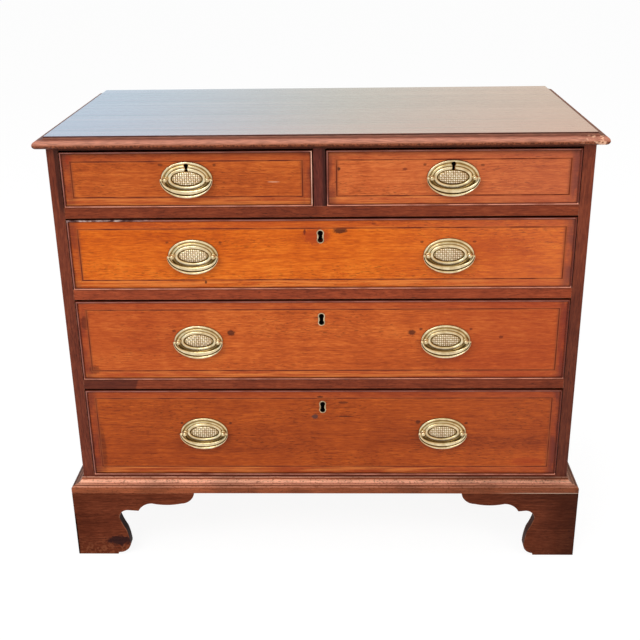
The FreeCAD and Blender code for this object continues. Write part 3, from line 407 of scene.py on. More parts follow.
def bead_dress(node):
    """Crests on a drawer's beads with a painted highlight, partly real rubbing, lightest below and at
    the left, and painted shade at their foot.
    """
    low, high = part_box(node)
    right_crest_light = BRIGHT_RIGHT_CREST_HIGHLIGHT if node.startswith("drawer_1_left") else RIGHT_CREST_IN_SHADE

    def dress(look):
        x, y, z = look.xyz
        proud = look.minus(FRONT_Y, y)
        broken = look.span(look.noise((30, 30, 30), 3.0), 0.3, 0.62, 0.35, 1.0)
        below = look.span(look.minus(z, low.z), *BEAD_REACH)
        beyond = look.span(look.minus(high.x, x), *BEAD_REACH)
        # the crests get a painted highlight, partly real rubbing, lighter on the lower beads
        tint = look.mix(look.times(beyond, look.minus(1.0, below)),
                        look.mix(below, CREST_HIGHLIGHT, LOWER_CREST_HIGHLIGHT), right_crest_light)
        look.lay(tint, look.times(look.span(proud, *BEAD_CREST), broken))
        if node.startswith("drawer_2"):
            bare = look.ramp(look.noise((90, 1, 260), 3.0), *CHIP_TONES)
            look.lay(bare, look.times(
                look.span(x, *CHIPPED_X), look.span(look.minus(high.z, z), *CHIPPED_DOWN),
                look.span(proud, *CHIPPED_PROUD), 0.85))
        # painted shade at the bead's foot, next to the front and the gap
        look.darken(look.span(proud, *BEAD_FOOT, 0.3, 1.0))
    return dress


# ------------------------------ moulded edges

# bands of painted light and shade, partly real wear, along the base moulding's section, by distance
# out plus distance down from its lip, in millimetres: the lip, a highlit cove, a shaded quirk, a
# light fillet, the ovolo, then the fascia
MOULDING_PAINTED_LIGHT_BANDS = (
    (0.0, (128, 84, 70)), (1.6, (112, 66, 48)), (2.4, (206, 150, 126)), (4.2, (190, 132, 108)),
    (5.2, (132, 70, 42)), (7.6, (166, 92, 62)), (9.4, (244, 170, 136)), (14.0, (255, 192, 160)),
    (18.5, (230, 160, 132)), (20.6, (146, 84, 60)), (22.4, (232, 172, 142)),
    (24.2, (214, 150, 120)), (25.4, (112, 58, 36)), (28.2, (150, 88, 62)),
    (30.5, (204, 140, 112)), (33.0, (162, 92, 60)), (35.6, (180, 100, 64)), (45.0, (176, 94, 58)),
)
MOULDING_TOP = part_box("base_moulding")[1].z
CARCASS_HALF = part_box("side_right")[1].x
MOULDING_KNOCK = (120, 62, 40)
# the open joint under the moulding's right end: x, and distance down
OPEN_JOINT_X = (0.31, 0.38)
OPEN_JOINT_DOWN = (23.4 * MM, 24.0 * MM)
OPEN_JOINT = (240, 208, 184)
# bands of painted light and shade down the top's edge, in millimetres: fillet, cove, quirk, nose and
# underside; the fillet and underside carry painted shade, the nose a painted highlight
TOP_EDGE_PAINTED_LIGHT_BANDS = (
    (0.0, (96, 50, 40)), (1.9, (104, 54, 44)), (2.85, (198, 134, 110)), (3.8, (180, 112, 88)),
    (5.13, (116, 60, 44)), (6.27, (180, 116, 94)), (8.55, (192, 128, 106)),
    (11.4, (186, 122, 98)), (13.3, (156, 90, 62)), (15.58, (134, 70, 40)), (19.0, (76, 34, 18)),
)
BAND_SHARE = 0.88
TOP_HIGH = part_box("top")[1].z
NOSE_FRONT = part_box("top")[0].y
# how far back from the nose the top's front edge reaches, as against its ends, which get painted
# shade
FRONT_EDGE = (16 * MM, 10 * MM)
UNDERSIDE = (11.5 * MM, 14.5 * MM)
UNDERSIDE_KNOCK = (60, 24, 12)
WORN_CORNER_X = (0.40, 0.465)
BARE_WOOD = (228, 178, 146)
FRONT_REFLECTION = (156, 88, 70)
LEFT_SKY_REFLECTION = (134, 126, 148)
LIGHT_STREAK = (206, 172, 158)


def banded(look, along, wobble, bands):
    """Lay bands of colour, which carry painted light and shade, along a section, with limits that
    waver;
    gives the wavering place.
    """
    along = look.shaken(along, look.noise((30, 160, 160)), wobble)
    reach = bands[-1][0]
    tints = look.ramp(look.math("DIVIDE", along, reach * MM),
                      *((position / reach, tint) for position, tint in bands))
    look.lay(tints, BAND_SHARE)
    return along


def moulding_dress(look):
    """A base moulding with painted highlights in its cove and on its edges, partly real wear, and
    painted shade on its ends.
    """
    x, y, z = look.xyz
    sideways = look.minus(look.math("ABSOLUTE", x), CARCASS_HALF)
    forwards = look.minus(FRONT_Y, y)
    down = look.minus(MOULDING_TOP, z)
    out = look.math("MAXIMUM", sideways, forwards)
    # the bands paint light and shade along the profile
    banded(look, look.math("ADD", out, down), 2.0 * MM, MOULDING_PAINTED_LIGHT_BANDS)
    knocks = look.noise((240, 400, 400))
    look.lay(MOULDING_KNOCK, look.span(knocks, 0.54, 0.66, 0.0, 0.62))
    look.darken(look.span(look.noise((40, 700, 700), 3.0), 0.36, 0.62, 0.84, 1.16))
    look.darken(look.span(look.noise((12, 30, 30)), 0.36, 0.52, 0.74, 1.0))
    # painted shade on the moulding's side runs at its ends
    look.shade(look.span(look.minus(sideways, forwards), -0.2 * MM, 0.6 * MM), 0.62)
    look.lay(OPEN_JOINT, look.times(look.span(x, *OPEN_JOINT_X),
                                    look.span(down, *OPEN_JOINT_DOWN)))


def top_face_dress(look):
    """The top is paler towards the front and bluish at the left, a painted reflection of the sky."""
    x, y, _ = look.xyz
    # painted reflection of the sky: paler towards the front, bluish at the left
    look.lay(FRONT_REFLECTION, look.span(y, 0.02, NOSE_FRONT, 0.0, 0.7))
    look.lay(LEFT_SKY_REFLECTION, look.span(x, 0.1, -0.45, 0.0, 0.8))
    streaks = look.noise((1.6, 260, 1), 3.0, 0.6)
    look.lay(LIGHT_STREAK, look.span(streaks, 0.52, 0.70, 0.0, 0.3))
    look.darken(look.span(streaks, 0.36, 0.48, 0.5, 1.0))


def top_edge_dress(look):
    """The top's moulded edge: a fillet in painted shade, a painted highlight on the nose, painted
    shade on its ends and underside, and knocks along its underside.
    """
    x, y, z = look.xyz
    down = banded(look, look.minus(TOP_HIGH, z), 1.2 * MM, TOP_EDGE_PAINTED_LIGHT_BANDS)
    look.darken(look.span(look.noise((60, 900, 900), 3.0), 0.34, 0.64, 0.66, 1.14))
    knocks = look.span(look.noise((300, 300, 300)), 0.46, 0.56)
    look.lay(UNDERSIDE_KNOCK, look.times(look.span(down, *UNDERSIDE), knocks, 0.75))
    ahead = look.span(look.minus(y, NOSE_FRONT), *FRONT_EDGE)
    # painted shade on the edge's ends, behind its front
    look.darken(look.math("MULTIPLY_ADD", ahead, 0.55, 0.45))
    bare = look.span(look.noise((140, 140, 140), 3.0), 0.54, 0.64)
    look.lay(BARE_WOOD, look.times(look.span(x, *WORN_CORNER_X), ahead, bare))


# ------------------------------ carcass and feet

# steps in x from the chest's middle to its left or right half
LEFT = (0.0, -0.1)
RIGHT = (0.0, 0.1)
FACING_DEPTH = (9 * MM, 8 * MM)
FACING = (104, 44, 28)
BACK_BOARDS = 4
# the share of a back board's width that the dirt in its joints takes
JOINT_DIRT = (0.006, 0.016)
# shades on the rails: from one height to another, and what is left of the light at each
RAIL_SHADES = ((0.43, 0.44, 0.7, 1.0), (0.60, 0.61, 1.0, 0.66), (0.72, 0.73, 1.0, 0.5))
# the darker piece let into the lowest rail: its joint's slant, its end, and its upper limit
PATCH_SLANT = -0.35
PATCH_END = (-0.4545, -0.4585)
PATCH_TOP = (0.366, 0.364)
PATCH = (58, 20, 16)
DIVIDER_SHADE_X = (2 * MM, 7 * MM)
# the shades low on the right stile, and on the left one beside the short drawer
LOW_STILE = (0.62, 0.42)
INNER_STILE_X = (-0.4385, -0.4365)
INNER_STILE_Z = (0.66, 0.68)
FOOT_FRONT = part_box("foot_front_left")[0].y
FOOT_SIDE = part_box("foot_front_right")[1].x
TOE = (0.045, 0.005)
RUBBED_TOE = (150, 88, 58)
# how far behind a foot's face its sawn edges, painted as in shade, start, and where they end at the
# back
SAWN_SHADE_DEPTH = (0.9 * MM, 1.6 * MM)
SAWN_SHADE_BACK = (0.235, 0.225)
# the dark strip on the left foot's outer edge: distance in, and height
STRIP_IN = (3.5 * MM, 2 * MM)
STRIP_TOP = (0.1, 0.07)
# the old repair on the left foot, written like a stain
REPAIR = (-387, 31, 25, 10, (34, 17, 20), 0.86)


def facing_dress(look):
    """A mahogany facing on the front edge of a softwood board."""
    look.lay(FACING, look.span(look.minus(look.xyz[1], FRONT_Y), *FACING_DEPTH))


def back_dress(look):
    """The back's boards differ in tone, and dirt lies in the joints between them."""
    low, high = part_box("back_boards")
    board = look.math("DIVIDE", look.minus(look.xyz[0], low.x), (high.x - low.x) / BACK_BOARDS)
    number = look.math("FLOOR", board)
    seed = look.node("ShaderNodeCombineXYZ", {0: number, 1: 0.37, 2: 0.61}).outputs[0]
    look.darken(look.span(look.noise(3.7, place=seed), 0.35, 0.65, 0.62, 1.0))
    from_joint = look.minus(0.5, look.apart(look.minus(board, number), 0.5))
    look.darken(look.span(from_joint, *JOINT_DIRT, 0.25, 1.0))


def rail_dress(look):
    """Rails in differing shade, and a darker patch let into the left of the lowest one."""
    x, _, z = look.xyz
    for shades in RAIL_SHADES:
        look.darken(look.span(z, *shades))
    slant = look.math("MULTIPLY_ADD", z, PATCH_SLANT, x)
    look.lay(PATCH, look.times(look.span(slant, *PATCH_END), look.span(z, *PATCH_TOP), 0.62))


def upright_dress(look):
    """The divider lies in the shade at its right."""
    look.darken(look.span(look.xyz[0], *DIVIDER_SHADE_X, 1.0, 0.45))


def stile_dress(look):
    """The right stile darkens towards the floor, and the left one beside the short drawer."""
    x, _, z = look.xyz
    look.shade(look.times(look.span(z, *LOW_STILE), look.span(x, *RIGHT)), 0.32)
    look.shade(look.times(look.span(x, *INNER_STILE_X), look.span(x, *LEFT),
                          look.span(z, *INNER_STILE_Z)), 0.6)


def foot_dress(look):
    """Sawn edges in painted shade behind the polished faces, rubbed toes, and an old repair at the
    left.
    """
    x, y, z = look.xyz
    look.darken(look.span(x, *LEFT, 0.64, 0.84))
    specks = look.span(look.noise((160, 160, 160), 3.0), 0.46, 0.6)
    look.lay(RUBBED_TOE, look.times(look.span(z, *TOE), specks, look.span(x, *LEFT, 0.08, 0.44)))
    inwards = look.minus(FOOT_SIDE, look.math("ABSOLUTE", x))
    # painted shade on the sawn edges behind each foot's polished faces
    look.shade(look.times(look.span(look.minus(y, FOOT_FRONT), *SAWN_SHADE_DEPTH),
                          look.span(y, *SAWN_SHADE_BACK), look.span(inwards, *SAWN_SHADE_DEPTH),
                          look.span(x, 0.1, -0.1, 0.6, 0.88)), 1.0)
    look.shade(look.times(look.span(look.minus(x, -FOOT_SIDE), *STRIP_IN),
                          look.span(z, *STRIP_TOP)), 0.8)
    spot(look, look.shaken(0.0, look.noise(200.0), 1.9), *REPAIR)


# each wood's name, its dark, middle and light tones, its nodes and its other settings
WOODS = (
    ("rail_wood", ((102, 38, 19), (150, 65, 34), (186, 92, 52)), ("drawer_rails", "top_rails"),
     {"offset": (3, 0, 0), "worn": (176, 104, 76), "dress": rail_dress}),
    ("upright_wood", ((66, 22, 16), (96, 40, 30), (126, 60, 46)), ("short_drawer_divider",),
     {"along": "Z", "offset": (5, 0, 0), "worn": (140, 80, 62), "dress": upright_dress}),
    ("side_wood", ((72, 26, 14), (106, 46, 28), (138, 68, 42)), ("side_left", "side_right"),
     {"along": "Z", "offset": (9, 0, 0), "worn": (140, 84, 62), "dress": stile_dress}),
    ("moulding_wood", ((96, 36, 18), (148, 76, 46), (188, 112, 80)), ("base_moulding",),
     {"offset": (1, 2, 0), "roughness": 0.5, "dress": moulding_dress}),
    ("foot_wood", ((76, 30, 14), (112, 52, 30), (146, 76, 48)),
     ("foot_front_left", "foot_front_right", "feet_rear"),
     {"offset": (2, 7, 0), "roughness": 0.55, "specular": 0.06, "worn": (150, 92, 66),
      "dress": foot_dress}),
    ("top_wood", ((92, 42, 28), (120, 60, 42), (146, 82, 60)), ("top",),
     {"offset": (4, 1, 3), "roughness": 0.26, "specular": 0.8, "coat": 1.0,
      "dress": top_face_dress}),
    ("oak_lining", ((120, 84, 50), (160, 124, 82), (196, 162, 118)),
     ("dustboards", *(drawer + "_bottom" for drawer in DRAWERS)), {"roughness": 0.62, "pore": 0.3}),
    ("oak_sides", ((116, 82, 50), (156, 120, 80), (192, 158, 114)),
     [drawer + "_box" for drawer in DRAWERS], {"along": "Y", "roughness": 0.62, "pore": 0.3}),
    ("pine_back", ((112, 72, 40), (152, 110, 70), (188, 150, 106)), ("back_boards",),
     {"along": "Z", "roughness": 0.7, "pore": 0.15, "dress": back_dress}),
    ("pine_inside", ((118, 80, 46), (158, 118, 78), (194, 156, 112)),
     ("bottom_board", "drawer_runners", "drawer_stops"),
     {"along": "Y", "roughness": 0.7, "pore": 0.15, "dress": facing_dress}),
)
BEAD_TONES = ((70, 24, 16), (104, 42, 26), (142, 66, 42))
TOP_EDGE_TONES = ((110, 54, 34), (150, 86, 60), (190, 120, 90))
# how far each drawer's grain is shifted against the one before
GRAIN_SHIFT = (0.7, 0.31)


def paint(node, material):
    """Put a material in a CAD node's slots."""
    mesh = NODES[node].data
    if not mesh.materials:
        mesh.materials.append(material)
    for slot in range(len(mesh.materials)):
        mesh.materials[slot] = material


def dress_woodwork():
    """Give every wooden CAD node its material."""
    for number, drawer in enumerate(DRAWERS):
        along, across = (number * shift for shift in GRAIN_SHIFT)
        front = drawer + "_front"
        paint(front, wood(front, *FRONT_TONES[drawer], offset=(along, across, 0),
                          dress=front_dress(front, STAINS[drawer])))
        bead = drawer + "_cockbead"
        paint(bead, wood(bead, *BEAD_TONES, offset=(0, across, 5), roughness=0.3,
                         dress=bead_dress(bead)))
    for name, tones, nodes, settings in WOODS:
        material = wood(name, *tones, **settings)
        for node in nodes:
            paint(node, material)


def dress_top_edge(top):
    """The top's moulded edge and underside get a duller material than its polished face."""
    top.data.materials.append(wood("top_edge_wood", *TOP_EDGE_TONES, offset=(4, 1, 3),
                                   roughness=0.5, dress=top_edge_dress))
    for face in top.data.polygons:
        if face.center.z < TOP_HIGH - 0.3 * MM:
            face.material_index = 1


# ------------------------------ metal

METAL_RELIEF = 0.01 * MM
# each metal where it is rubbed bright, and where it is dull
IRON = ((92, 88, 84), (58, 54, 50))
LOCK_BRASS = ((214, 190, 154), (160, 136, 104))
PLATE_BRASS = ((238, 220, 186), (206, 182, 142))
WEAVE_BRASS = ((255, 242, 226), (232, 208, 188))
# tarnish by relief, from a groove's foot to a crest
TARNISH = ((0.03, (64, 50, 28)), (0.25, (142, 122, 82)), (0.55, (206, 190, 152)),
           (0.9, (255, 253, 246)))
# the colour of painted shade inside a lock's hole
LOCK_SHADE = (8, 6, 5)
# where a lock lies hidden, painted dark as shade: depth behind the front's face, and distance ahead
# of its back
LOCK_FACE = (-0.57 * MM, -0.3 * MM)
LOCK_BACK = (0.4 * MM, 0.8 * MM)
# painted shade round the edge of a long drawer's keyhole: its reach round the middle of head and
# foot, its half width at the waist, the foot's distance below the head, the blur of its limits, and
# its depth
HOLE_SHADE_REACH = 4.5 * MM
HOLE_SHADE_WAIST = 3.1 * MM
LINER_FOOT_DROP = 11.8 * MM
LINER_BLUR = 0.3 * MM
LINER_END_BLUR = 0.1 * MM
LINER_DEPTH = (0.0, -0.2 * MM)
# how far the round head of each long drawer's keyhole lies below the top of its front
KEYHOLE_DROPS = {"drawer_2": 25.4 * MM, "drawer_3": 29.2 * MM, "drawer_4": 28.2 * MM}


def metal(name, bright, dull, roughness, dress=None):
    """Worn metal: bright where rubbed, dull in patches."""
    look = Look(bpy.data.materials.new(name))
    patches = look.noise(90.0, 3.0, 0.6)
    look.colour = look.ramp(patches, (0.32, dull), (0.60, bright))
    if dress:
        dress(look)
    return look.finish(look.noise(500.0), METAL_RELIEF, Metallic=1.0,
                       Roughness=look.span(patches, 0.3, 0.7, roughness + 0.08, roughness - 0.04))


def brass_dress(look):
    """Tarnish in the grooves of the stamped brass, and painted shade under the bail, where the mesh's
    relief value is low.
    """
    look.lay(look.ramp(look.attribute("relief"), *TARNISH), 1.0, "MULTIPLY")


def lock_dress(drawer):
    """A lock is bright at its back and on its liner's face; painted shade lies inside the hole and on
    the liner towards it.
    """
    low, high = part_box(drawer + "_front")
    middle = (low.x + high.x) / 2

    def dress(look):
        x, y, z = look.xyz
        depth = look.minus(y, FRONT_Y)
        hole_shade = look.times(look.span(depth, *LOCK_FACE), look.span(look.minus(high.y, y), *LOCK_BACK))
        if drawer in KEYHOLE_DROPS:
            head = high.z - KEYHOLE_DROPS[drawer]
            below = look.minus(head, z)
            near = look.times(
                look.span(below, -LINER_END_BLUR, LINER_END_BLUR),
                look.span(below, LINER_FOOT_DROP + LINER_END_BLUR, LINER_FOOT_DROP),
                look.span(look.apart(x, middle), HOLE_SHADE_WAIST + LINER_BLUR, HOLE_SHADE_WAIST))
            for drop in (0.0, LINER_FOOT_DROP):
                shaded_ring = look.span(look.reach(middle, head - drop), HOLE_SHADE_REACH + LINER_BLUR, HOLE_SHADE_REACH)
                near = look.math("MAXIMUM", near, shaded_ring)
            hole_shade = look.math("MAXIMUM", hole_shade, look.times(near, look.span(depth, *LINER_DEPTH)))
        # painted shade inside the lock and round the keyhole
        look.lay(LOCK_SHADE, hole_shade)
    return dress


def dress_locks():
    """Iron for the bolts, and brass for the locks and their liners."""
    iron = metal("lock_iron", *IRON, roughness=0.42)
    for drawer in DRAWERS:
        paint(drawer + "_lock_bolt", iron)
        lock = drawer + "_lock"
        paint(lock, metal(lock, *LOCK_BRASS, roughness=0.42, dress=lock_dress(drawer)))


# ------------------------------ mesh kit

DOUBLE = 1e-6
PLAIN_RELIEF = 0.8


def piece(name, vertices, faces, material, relief=None):
    """A mesh object in the row frame; relief is 0 in its grooves and 1 on its crests."""
    mesh = bpy.data.meshes.new(name)
    mesh.from_pydata(vertices, [], faces)
    values = relief or [PLAIN_RELIEF] * len(vertices)
    mesh.attributes.new("relief", "FLOAT", "POINT").data.foreach_set("value", values)
    mesh.validate()
    mesh.materials.append(material)
    made = bpy.data.objects.new(name, mesh)
    bpy.context.scene.collection.objects.link(made)
    tidy_normals(made)
    return made


def tidy_normals(made, degrees=38):
    """Merge doubled points, turn faces outwards, and shade smooth up to an angle."""
    work = bmesh.new()
    work.from_mesh(made.data)
    bmesh.ops.remove_doubles(work, verts=work.verts, dist=DOUBLE)
    bmesh.ops.recalc_face_normals(work, faces=work.faces)
    for face in work.faces:
        face.smooth = True
    limit = math.radians(degrees)
    for edge in work.edges:
        edge.smooth = not edge.is_manifold or edge.calc_face_angle(0.0) < limit
    work.to_mesh(made.data)
    work.free()


def joined(name, pieces):
    """Several meshes as one object."""
    target = pieces[0]
    work = bmesh.new()
    for part in pieces:
        work.from_mesh(part.data)
    work.to_mesh(target.data)
    work.free()
    for part in pieces[1:]:
        bpy.data.objects.remove(part)
    target.name = name
    target.data.name = name
    return target


def soften(node, width, body):
    """Replace a CAD node by a copy of its mesh whose sharp edges are rounded and marked as worn.

    Rounding can move a corner out by a hair, so the copy is narrowed along x to the node's own box.
    """
    source = NODES[node]
    copy = bpy.data.objects.new(node + "_worn", source.data.copy())
    bpy.context.scene.collection.objects.link(copy)
    work = bmesh.new()
    work.from_mesh(copy.data)
    bmesh.ops.remove_doubles(work, verts=work.verts, dist=DOUBLE)
    bmesh.ops.dissolve_limit(work, angle_limit=math.radians(0.5), verts=work.verts,
                             edges=work.edges)
    sharp = [edge for edge in work.edges
             if edge.is_manifold and edge.calc_face_angle(0.0) > math.radians(35)]
    made = bmesh.ops.bevel(work, geom=sharp, offset=width, segments=2, profile=0.5,
                           affect="EDGES", clamp_overlap=True)
    low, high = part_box(node)
    reach = max(abs(vertex.co.x) for vertex in work.verts)
    within = min(1.0, max(-low.x, high.x) / reach)
    for vertex in work.verts:
        vertex.co.x *= within
    worn = work.loops.layers.float.new("worn")
    for face in made["faces"]:
        for loop in face.loops:
            loop[worn] = 1.0
    work.to_mesh(copy.data)
    work.free()
    tidy_normals(copy, 20)
    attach(copy, body)
    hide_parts(node)
    return copy


def around(x, z, reach_x, reach_z, angle):
    """A point on an upright oval."""
    return x + reach_x * math.cos(angle), z + reach_z * math.sin(angle)


def turns(steps):
    """Equal angles once round."""
    return [2 * math.pi * step / steps for step in range(steps)]


def tube(count, steps):
    """Faces that join a count of rings, with as many points in each as steps, and both ends."""
    faces = []
    for ring in range(count - 1):
        for step in range(steps):
            after = (step + 1) % steps
            faces.append((ring * steps + step, ring * steps + after,
                          (ring + 1) * steps + after, (ring + 1) * steps + step))
    faces.append(tuple(range(steps))[::-1])
    faces.append(tuple((count - 1) * steps + step for step in range(steps)))
    return faces


def lathe(name, profile, axis, place, material, steps=28, side=1):
    """A turned piece: profile gives reach along the axis (Y, or X on one side) and radius."""
    vertices = []
    for reach, radius in profile:
        for angle in turns(steps):
            if axis == "Y":
                x, z = around(place[0], place[2], radius, radius, angle)
                vertices.append((x, reach, z))
            else:
                y, z = around(place[1], place[2], radius, radius, angle)
                vertices.append((place[0] + side * reach, y, z))
    return piece(name, vertices, tube(len(profile), steps), material)


# ------------------------------ handles

PLATE_HALF = (43 * MM, 29.2 * MM)
PLATE_STEPS = 160
# the plate's section in millimetres: distance in from the edge, height above the wood
PLATE_SECTION = (
    (0.0, 0.0), (0.0, 0.6), (0.3, 1.4), (1.0, 2.2), (2.0, 2.5), (3.0, 2.3), (3.9, 1.8),
    (4.6, 1.25), (5.4, 1.05), (6.1, 1.25), (6.7, 1.7), (7.4, 2.05), (8.3, 2.2), (9.2, 2.05),
    (9.8, 1.6), (10.3, 1.2), (10.8, 1.25), (11.2, 1.7), (11.8, 2.2), (12.6, 2.5), (13.6, 2.6),
    (14.6, 2.5), (15.5, 2.2), (16.2, 1.7), (16.7, 1.0), (17.2, 0.5), (18.0, 0.45),
)
# the part of the section that the bail shades, painted there as shade, and the share of its relief
# that goes there
UNDER_BAIL = (4.0, 11.2)
BAIL_SHADE = 0.6
MEDALLION_HALF = tuple(reach - 17.6 * MM for reach in PLATE_HALF)
MEDALLION_GRID = (150, 70)
# how far the medallion's rim, its dome and its weave rise, in millimetres
RIM_RISE = 0.35
DOME_RISE = 1.15
WEAVE_RISE = 0.75
WEAVE_CELL = 3.7 * MM
WEAVE_POWER = 2.6
WEAVE_SINK = 0.25
BALL = 4.25 * MM
BALL_STEPS = 17
POST_X = 35 * MM
# turned profiles in millimetres: reach and radius, from a post's seat, from the front's back,
# and from a bail's middle
POST_SEAT = FRONT_Y - 1.9 * MM
POST_FOOT = ((-1.6, 2.6), (-1.2, 3.4), (-0.7, 3.85), (0.0, 3.9))
NECK_REACH = 1.9 * MM
SHANK_RADIUS = 2 * MM
SHANK_PAST_WOOD = 6 * MM
NUT = ((0.0, 5.4), (0.5, 6.0), (3.5, 6.0), (4.0, 5.4))
KNUCKLE = ((39.75, 1.9), (40.3, 2.35), (42.6, 2.35), (43.5, 1.8), (43.95, 0.9))
PIN = ((34.7, 1.2), (35.0, 1.38), (41.0, 1.38))
BAIL_OUTER = (43.9 * MM, 30.9 * MM)
BAIL_INNER = (39.75 * MM, 18.0 * MM)
BAIL_HALF_THICKNESS = 1.95 * MM
BAIL_STEPS = 96
# the bail's section: share of the way from its inner to its outer edge, height of its face, relief
BAIL_SECTION = (
    (0.0, -0.4, 0.2), (0.02, 0.3, 0.5), (0.09, 0.7, 0.75), (0.20, 0.92, 0.95), (0.34, 0.97, 1.0),
    (0.46, 0.85, 0.85), (0.53, 0.5, 0.5), (0.57, 0.1, 0.15), (0.615, -0.1, 0.0), (0.66, 0.15, 0.1),
    (0.71, 0.6, 0.6), (0.78, 0.93, 0.95), (0.87, 0.99, 1.0), (0.95, 0.72, 0.9), (1.0, 0.0, 0.6),
    (0.97, -0.75, 0.3), (0.8, -1.0, 0.2), (0.2, -1.0, 0.2), (0.03, -0.85, 0.2),
)
# a short drawer's keyhole: radii and heights of its head and foot, the head's arc as a first
# angle and a sweep in degrees, and the cutter's depth
KEYHOLE_HEAD = 3.6 * MM
KEYHOLE_SLOT = 2.5 * MM
KEYHOLE_HEAD_RISE = 22.5 * MM
KEYHOLE_FOOT_RISE = 13.0 * MM
KEYHOLE_ARC = (-51, 282)
CUTTER_DEPTH = (-6 * MM, 2 * MM)


def in_metres(profile, start=0.0):
    """A turned profile given in millimetres, set off from a start."""
    return [(start + reach * MM, radius * MM) for reach, radius in profile]


def make_plate(name, x, z, material):
    """The stamped oval plate, up to the edge of its woven middle; dark in its grooves."""
    vertices, relief = [], []
    for inset, height in PLATE_SECTION:
        for angle in turns(PLATE_STEPS):
            px, pz = around(x, z, *(reach - inset * MM for reach in PLATE_HALF), angle)
            vertices.append((px, FRONT_Y - height * MM, pz))
            shade = max(0.0, (height - 0.5) / 2.0)
            # painted shade, partly tarnish, where the bail lies over the plate
            if UNDER_BAIL[0] < inset < UNDER_BAIL[1]:
                shade *= 1 - BAIL_SHADE * max(0.0, min(1.0, -math.sin(angle) * 3))
            relief.append(shade)
    return piece(name, vertices, tube(len(PLATE_SECTION), PLATE_STEPS), material, relief)


def weave_height(u, v):
    """Height of the basket weave, 0-1: cells whose strands stand higher and lower in turn."""
    column, row = math.floor(u / WEAVE_CELL), math.floor(v / WEAVE_CELL)
    a = (u / WEAVE_CELL - column - 0.5) * 2
    b = (v / WEAVE_CELL - row - 0.5) * 2
    pillow = max(0.0, 1 - abs(a) ** WEAVE_POWER) * max(0.0, 1 - abs(b) ** WEAVE_POWER)
    return pillow * (1.0 - WEAVE_SINK * ((column + row) % 2))


def make_medallion(name, x, z, material):
    """The domed, woven middle of a plate."""
    length, height = MEDALLION_HALF
    columns, rows = MEDALLION_GRID
    vertices, relief = [], []
    for row in range(rows + 1):
        for column in range(columns + 1):
            s, t = 2 * column / columns - 1, 2 * row / rows - 1
            u = length * s * math.sqrt(1 - t * t / 2)
            v = height * t * math.sqrt(1 - s * s / 2)
            reach = min(1.0, (u / length) ** 2 + (v / height) ** 2)
            woven = weave_height(u, v) * min(1.0, (1 - reach) * 5)
            rise = RIM_RISE + DOME_RISE * math.sqrt(1 - reach * 0.98) + WEAVE_RISE * woven
            vertices.append((x + u, FRONT_Y - rise * MM, z + v))
            relief.append(0.16 + 0.9 * woven)
    across = columns + 1
    faces = [(first, first + 1, first + 1 + across, first + across)
             for row in range(rows) for first in range(row * across, row * across + columns)]
    return piece(name, vertices, faces, material, relief)


def make_post(x, z, axis_y, back_y, material):
    """A turned post: flange, neck, ball and shank, with its nut behind the front."""
    profile = [(axis_y - BALL * 0.999, 0.3 * MM)]
    for step in range(1, BALL_STEPS):
        angle = math.pi * (1 - step / BALL_STEPS)
        profile.append((axis_y + BALL * math.cos(angle), BALL * math.sin(angle)))
    profile = [point for point in profile if point[0] < POST_SEAT - NECK_REACH]
    profile += in_metres(POST_FOOT, POST_SEAT)
    place = (x, axis_y, z)
    shank = [(reach, SHANK_RADIUS) for reach in (POST_SEAT, back_y + SHANK_PAST_WOOD)]
    return [lathe("post", profile, "Y", place, material),
            lathe("shank", shank, "Y", place, material, steps=16),
            lathe("nut", in_metres(NUT, back_y), "Y", place, material, steps=6)]


def make_bail(name, x, z, axis_y, material):
    """The swinging crescent with its two reeds, and its knuckles and pins."""
    vertices, relief = [], []
    for step in range(BAIL_STEPS + 1):
        angle = math.pi + math.pi * step / BAIL_STEPS
        inner = around(0.0, 0.0, *BAIL_INNER, angle)
        outer = around(0.0, 0.0, *BAIL_OUTER, angle)
        for share, height, shade in BAIL_SECTION:
            vertices.append((x + inner[0] + (outer[0] - inner[0]) * share,
                             axis_y - height * BAIL_HALF_THICKNESS,
                             z + inner[1] + (outer[1] - inner[1]) * share))
            relief.append(shade)
    parts = [piece(name, vertices, tube(BAIL_STEPS + 1, len(BAIL_SECTION)), material, relief)]
    for side in (-1, 1):
        for profile in (KNUCKLE, PIN):
            parts.append(lathe("knuckle", in_metres(profile), "X", (x, axis_y, z), material,
                               steps=20, side=side))
    return joined(name, parts)


def cut_keyhole(plate, x, z):
    """Pierce a short drawer's plate where its keyhole is."""
    first, sweep = KEYHOLE_ARC
    outline = [around(x, z + KEYHOLE_HEAD_RISE, KEYHOLE_HEAD, KEYHOLE_HEAD,
                      math.radians(first + sweep * step / 24)) for step in range(25)]
    outline += [around(x, z + KEYHOLE_FOOT_RISE, KEYHOLE_SLOT, KEYHOLE_SLOT,
                       math.pi + math.pi * step / 12) for step in range(13)]
    vertices = [(px, FRONT_Y + depth, pz) for depth in CUTTER_DEPTH for px, pz in outline]
    tool = piece("keyhole_tool", vertices, tube(2, len(outline)), plate.data.materials[0])
    cutter = plate.modifiers.new("keyhole", "BOOLEAN")
    cutter.operation = "DIFFERENCE"
    cutter.solver = "EXACT"
    cutter.object = tool
    graph = bpy.context.evaluated_depsgraph_get()
    pierced = bpy.data.meshes.new_from_object(plate.evaluated_get(graph))
    plate.modifiers.clear()
    plate.data = pierced
    bpy.data.objects.remove(tool)
    tidy_normals(plate)


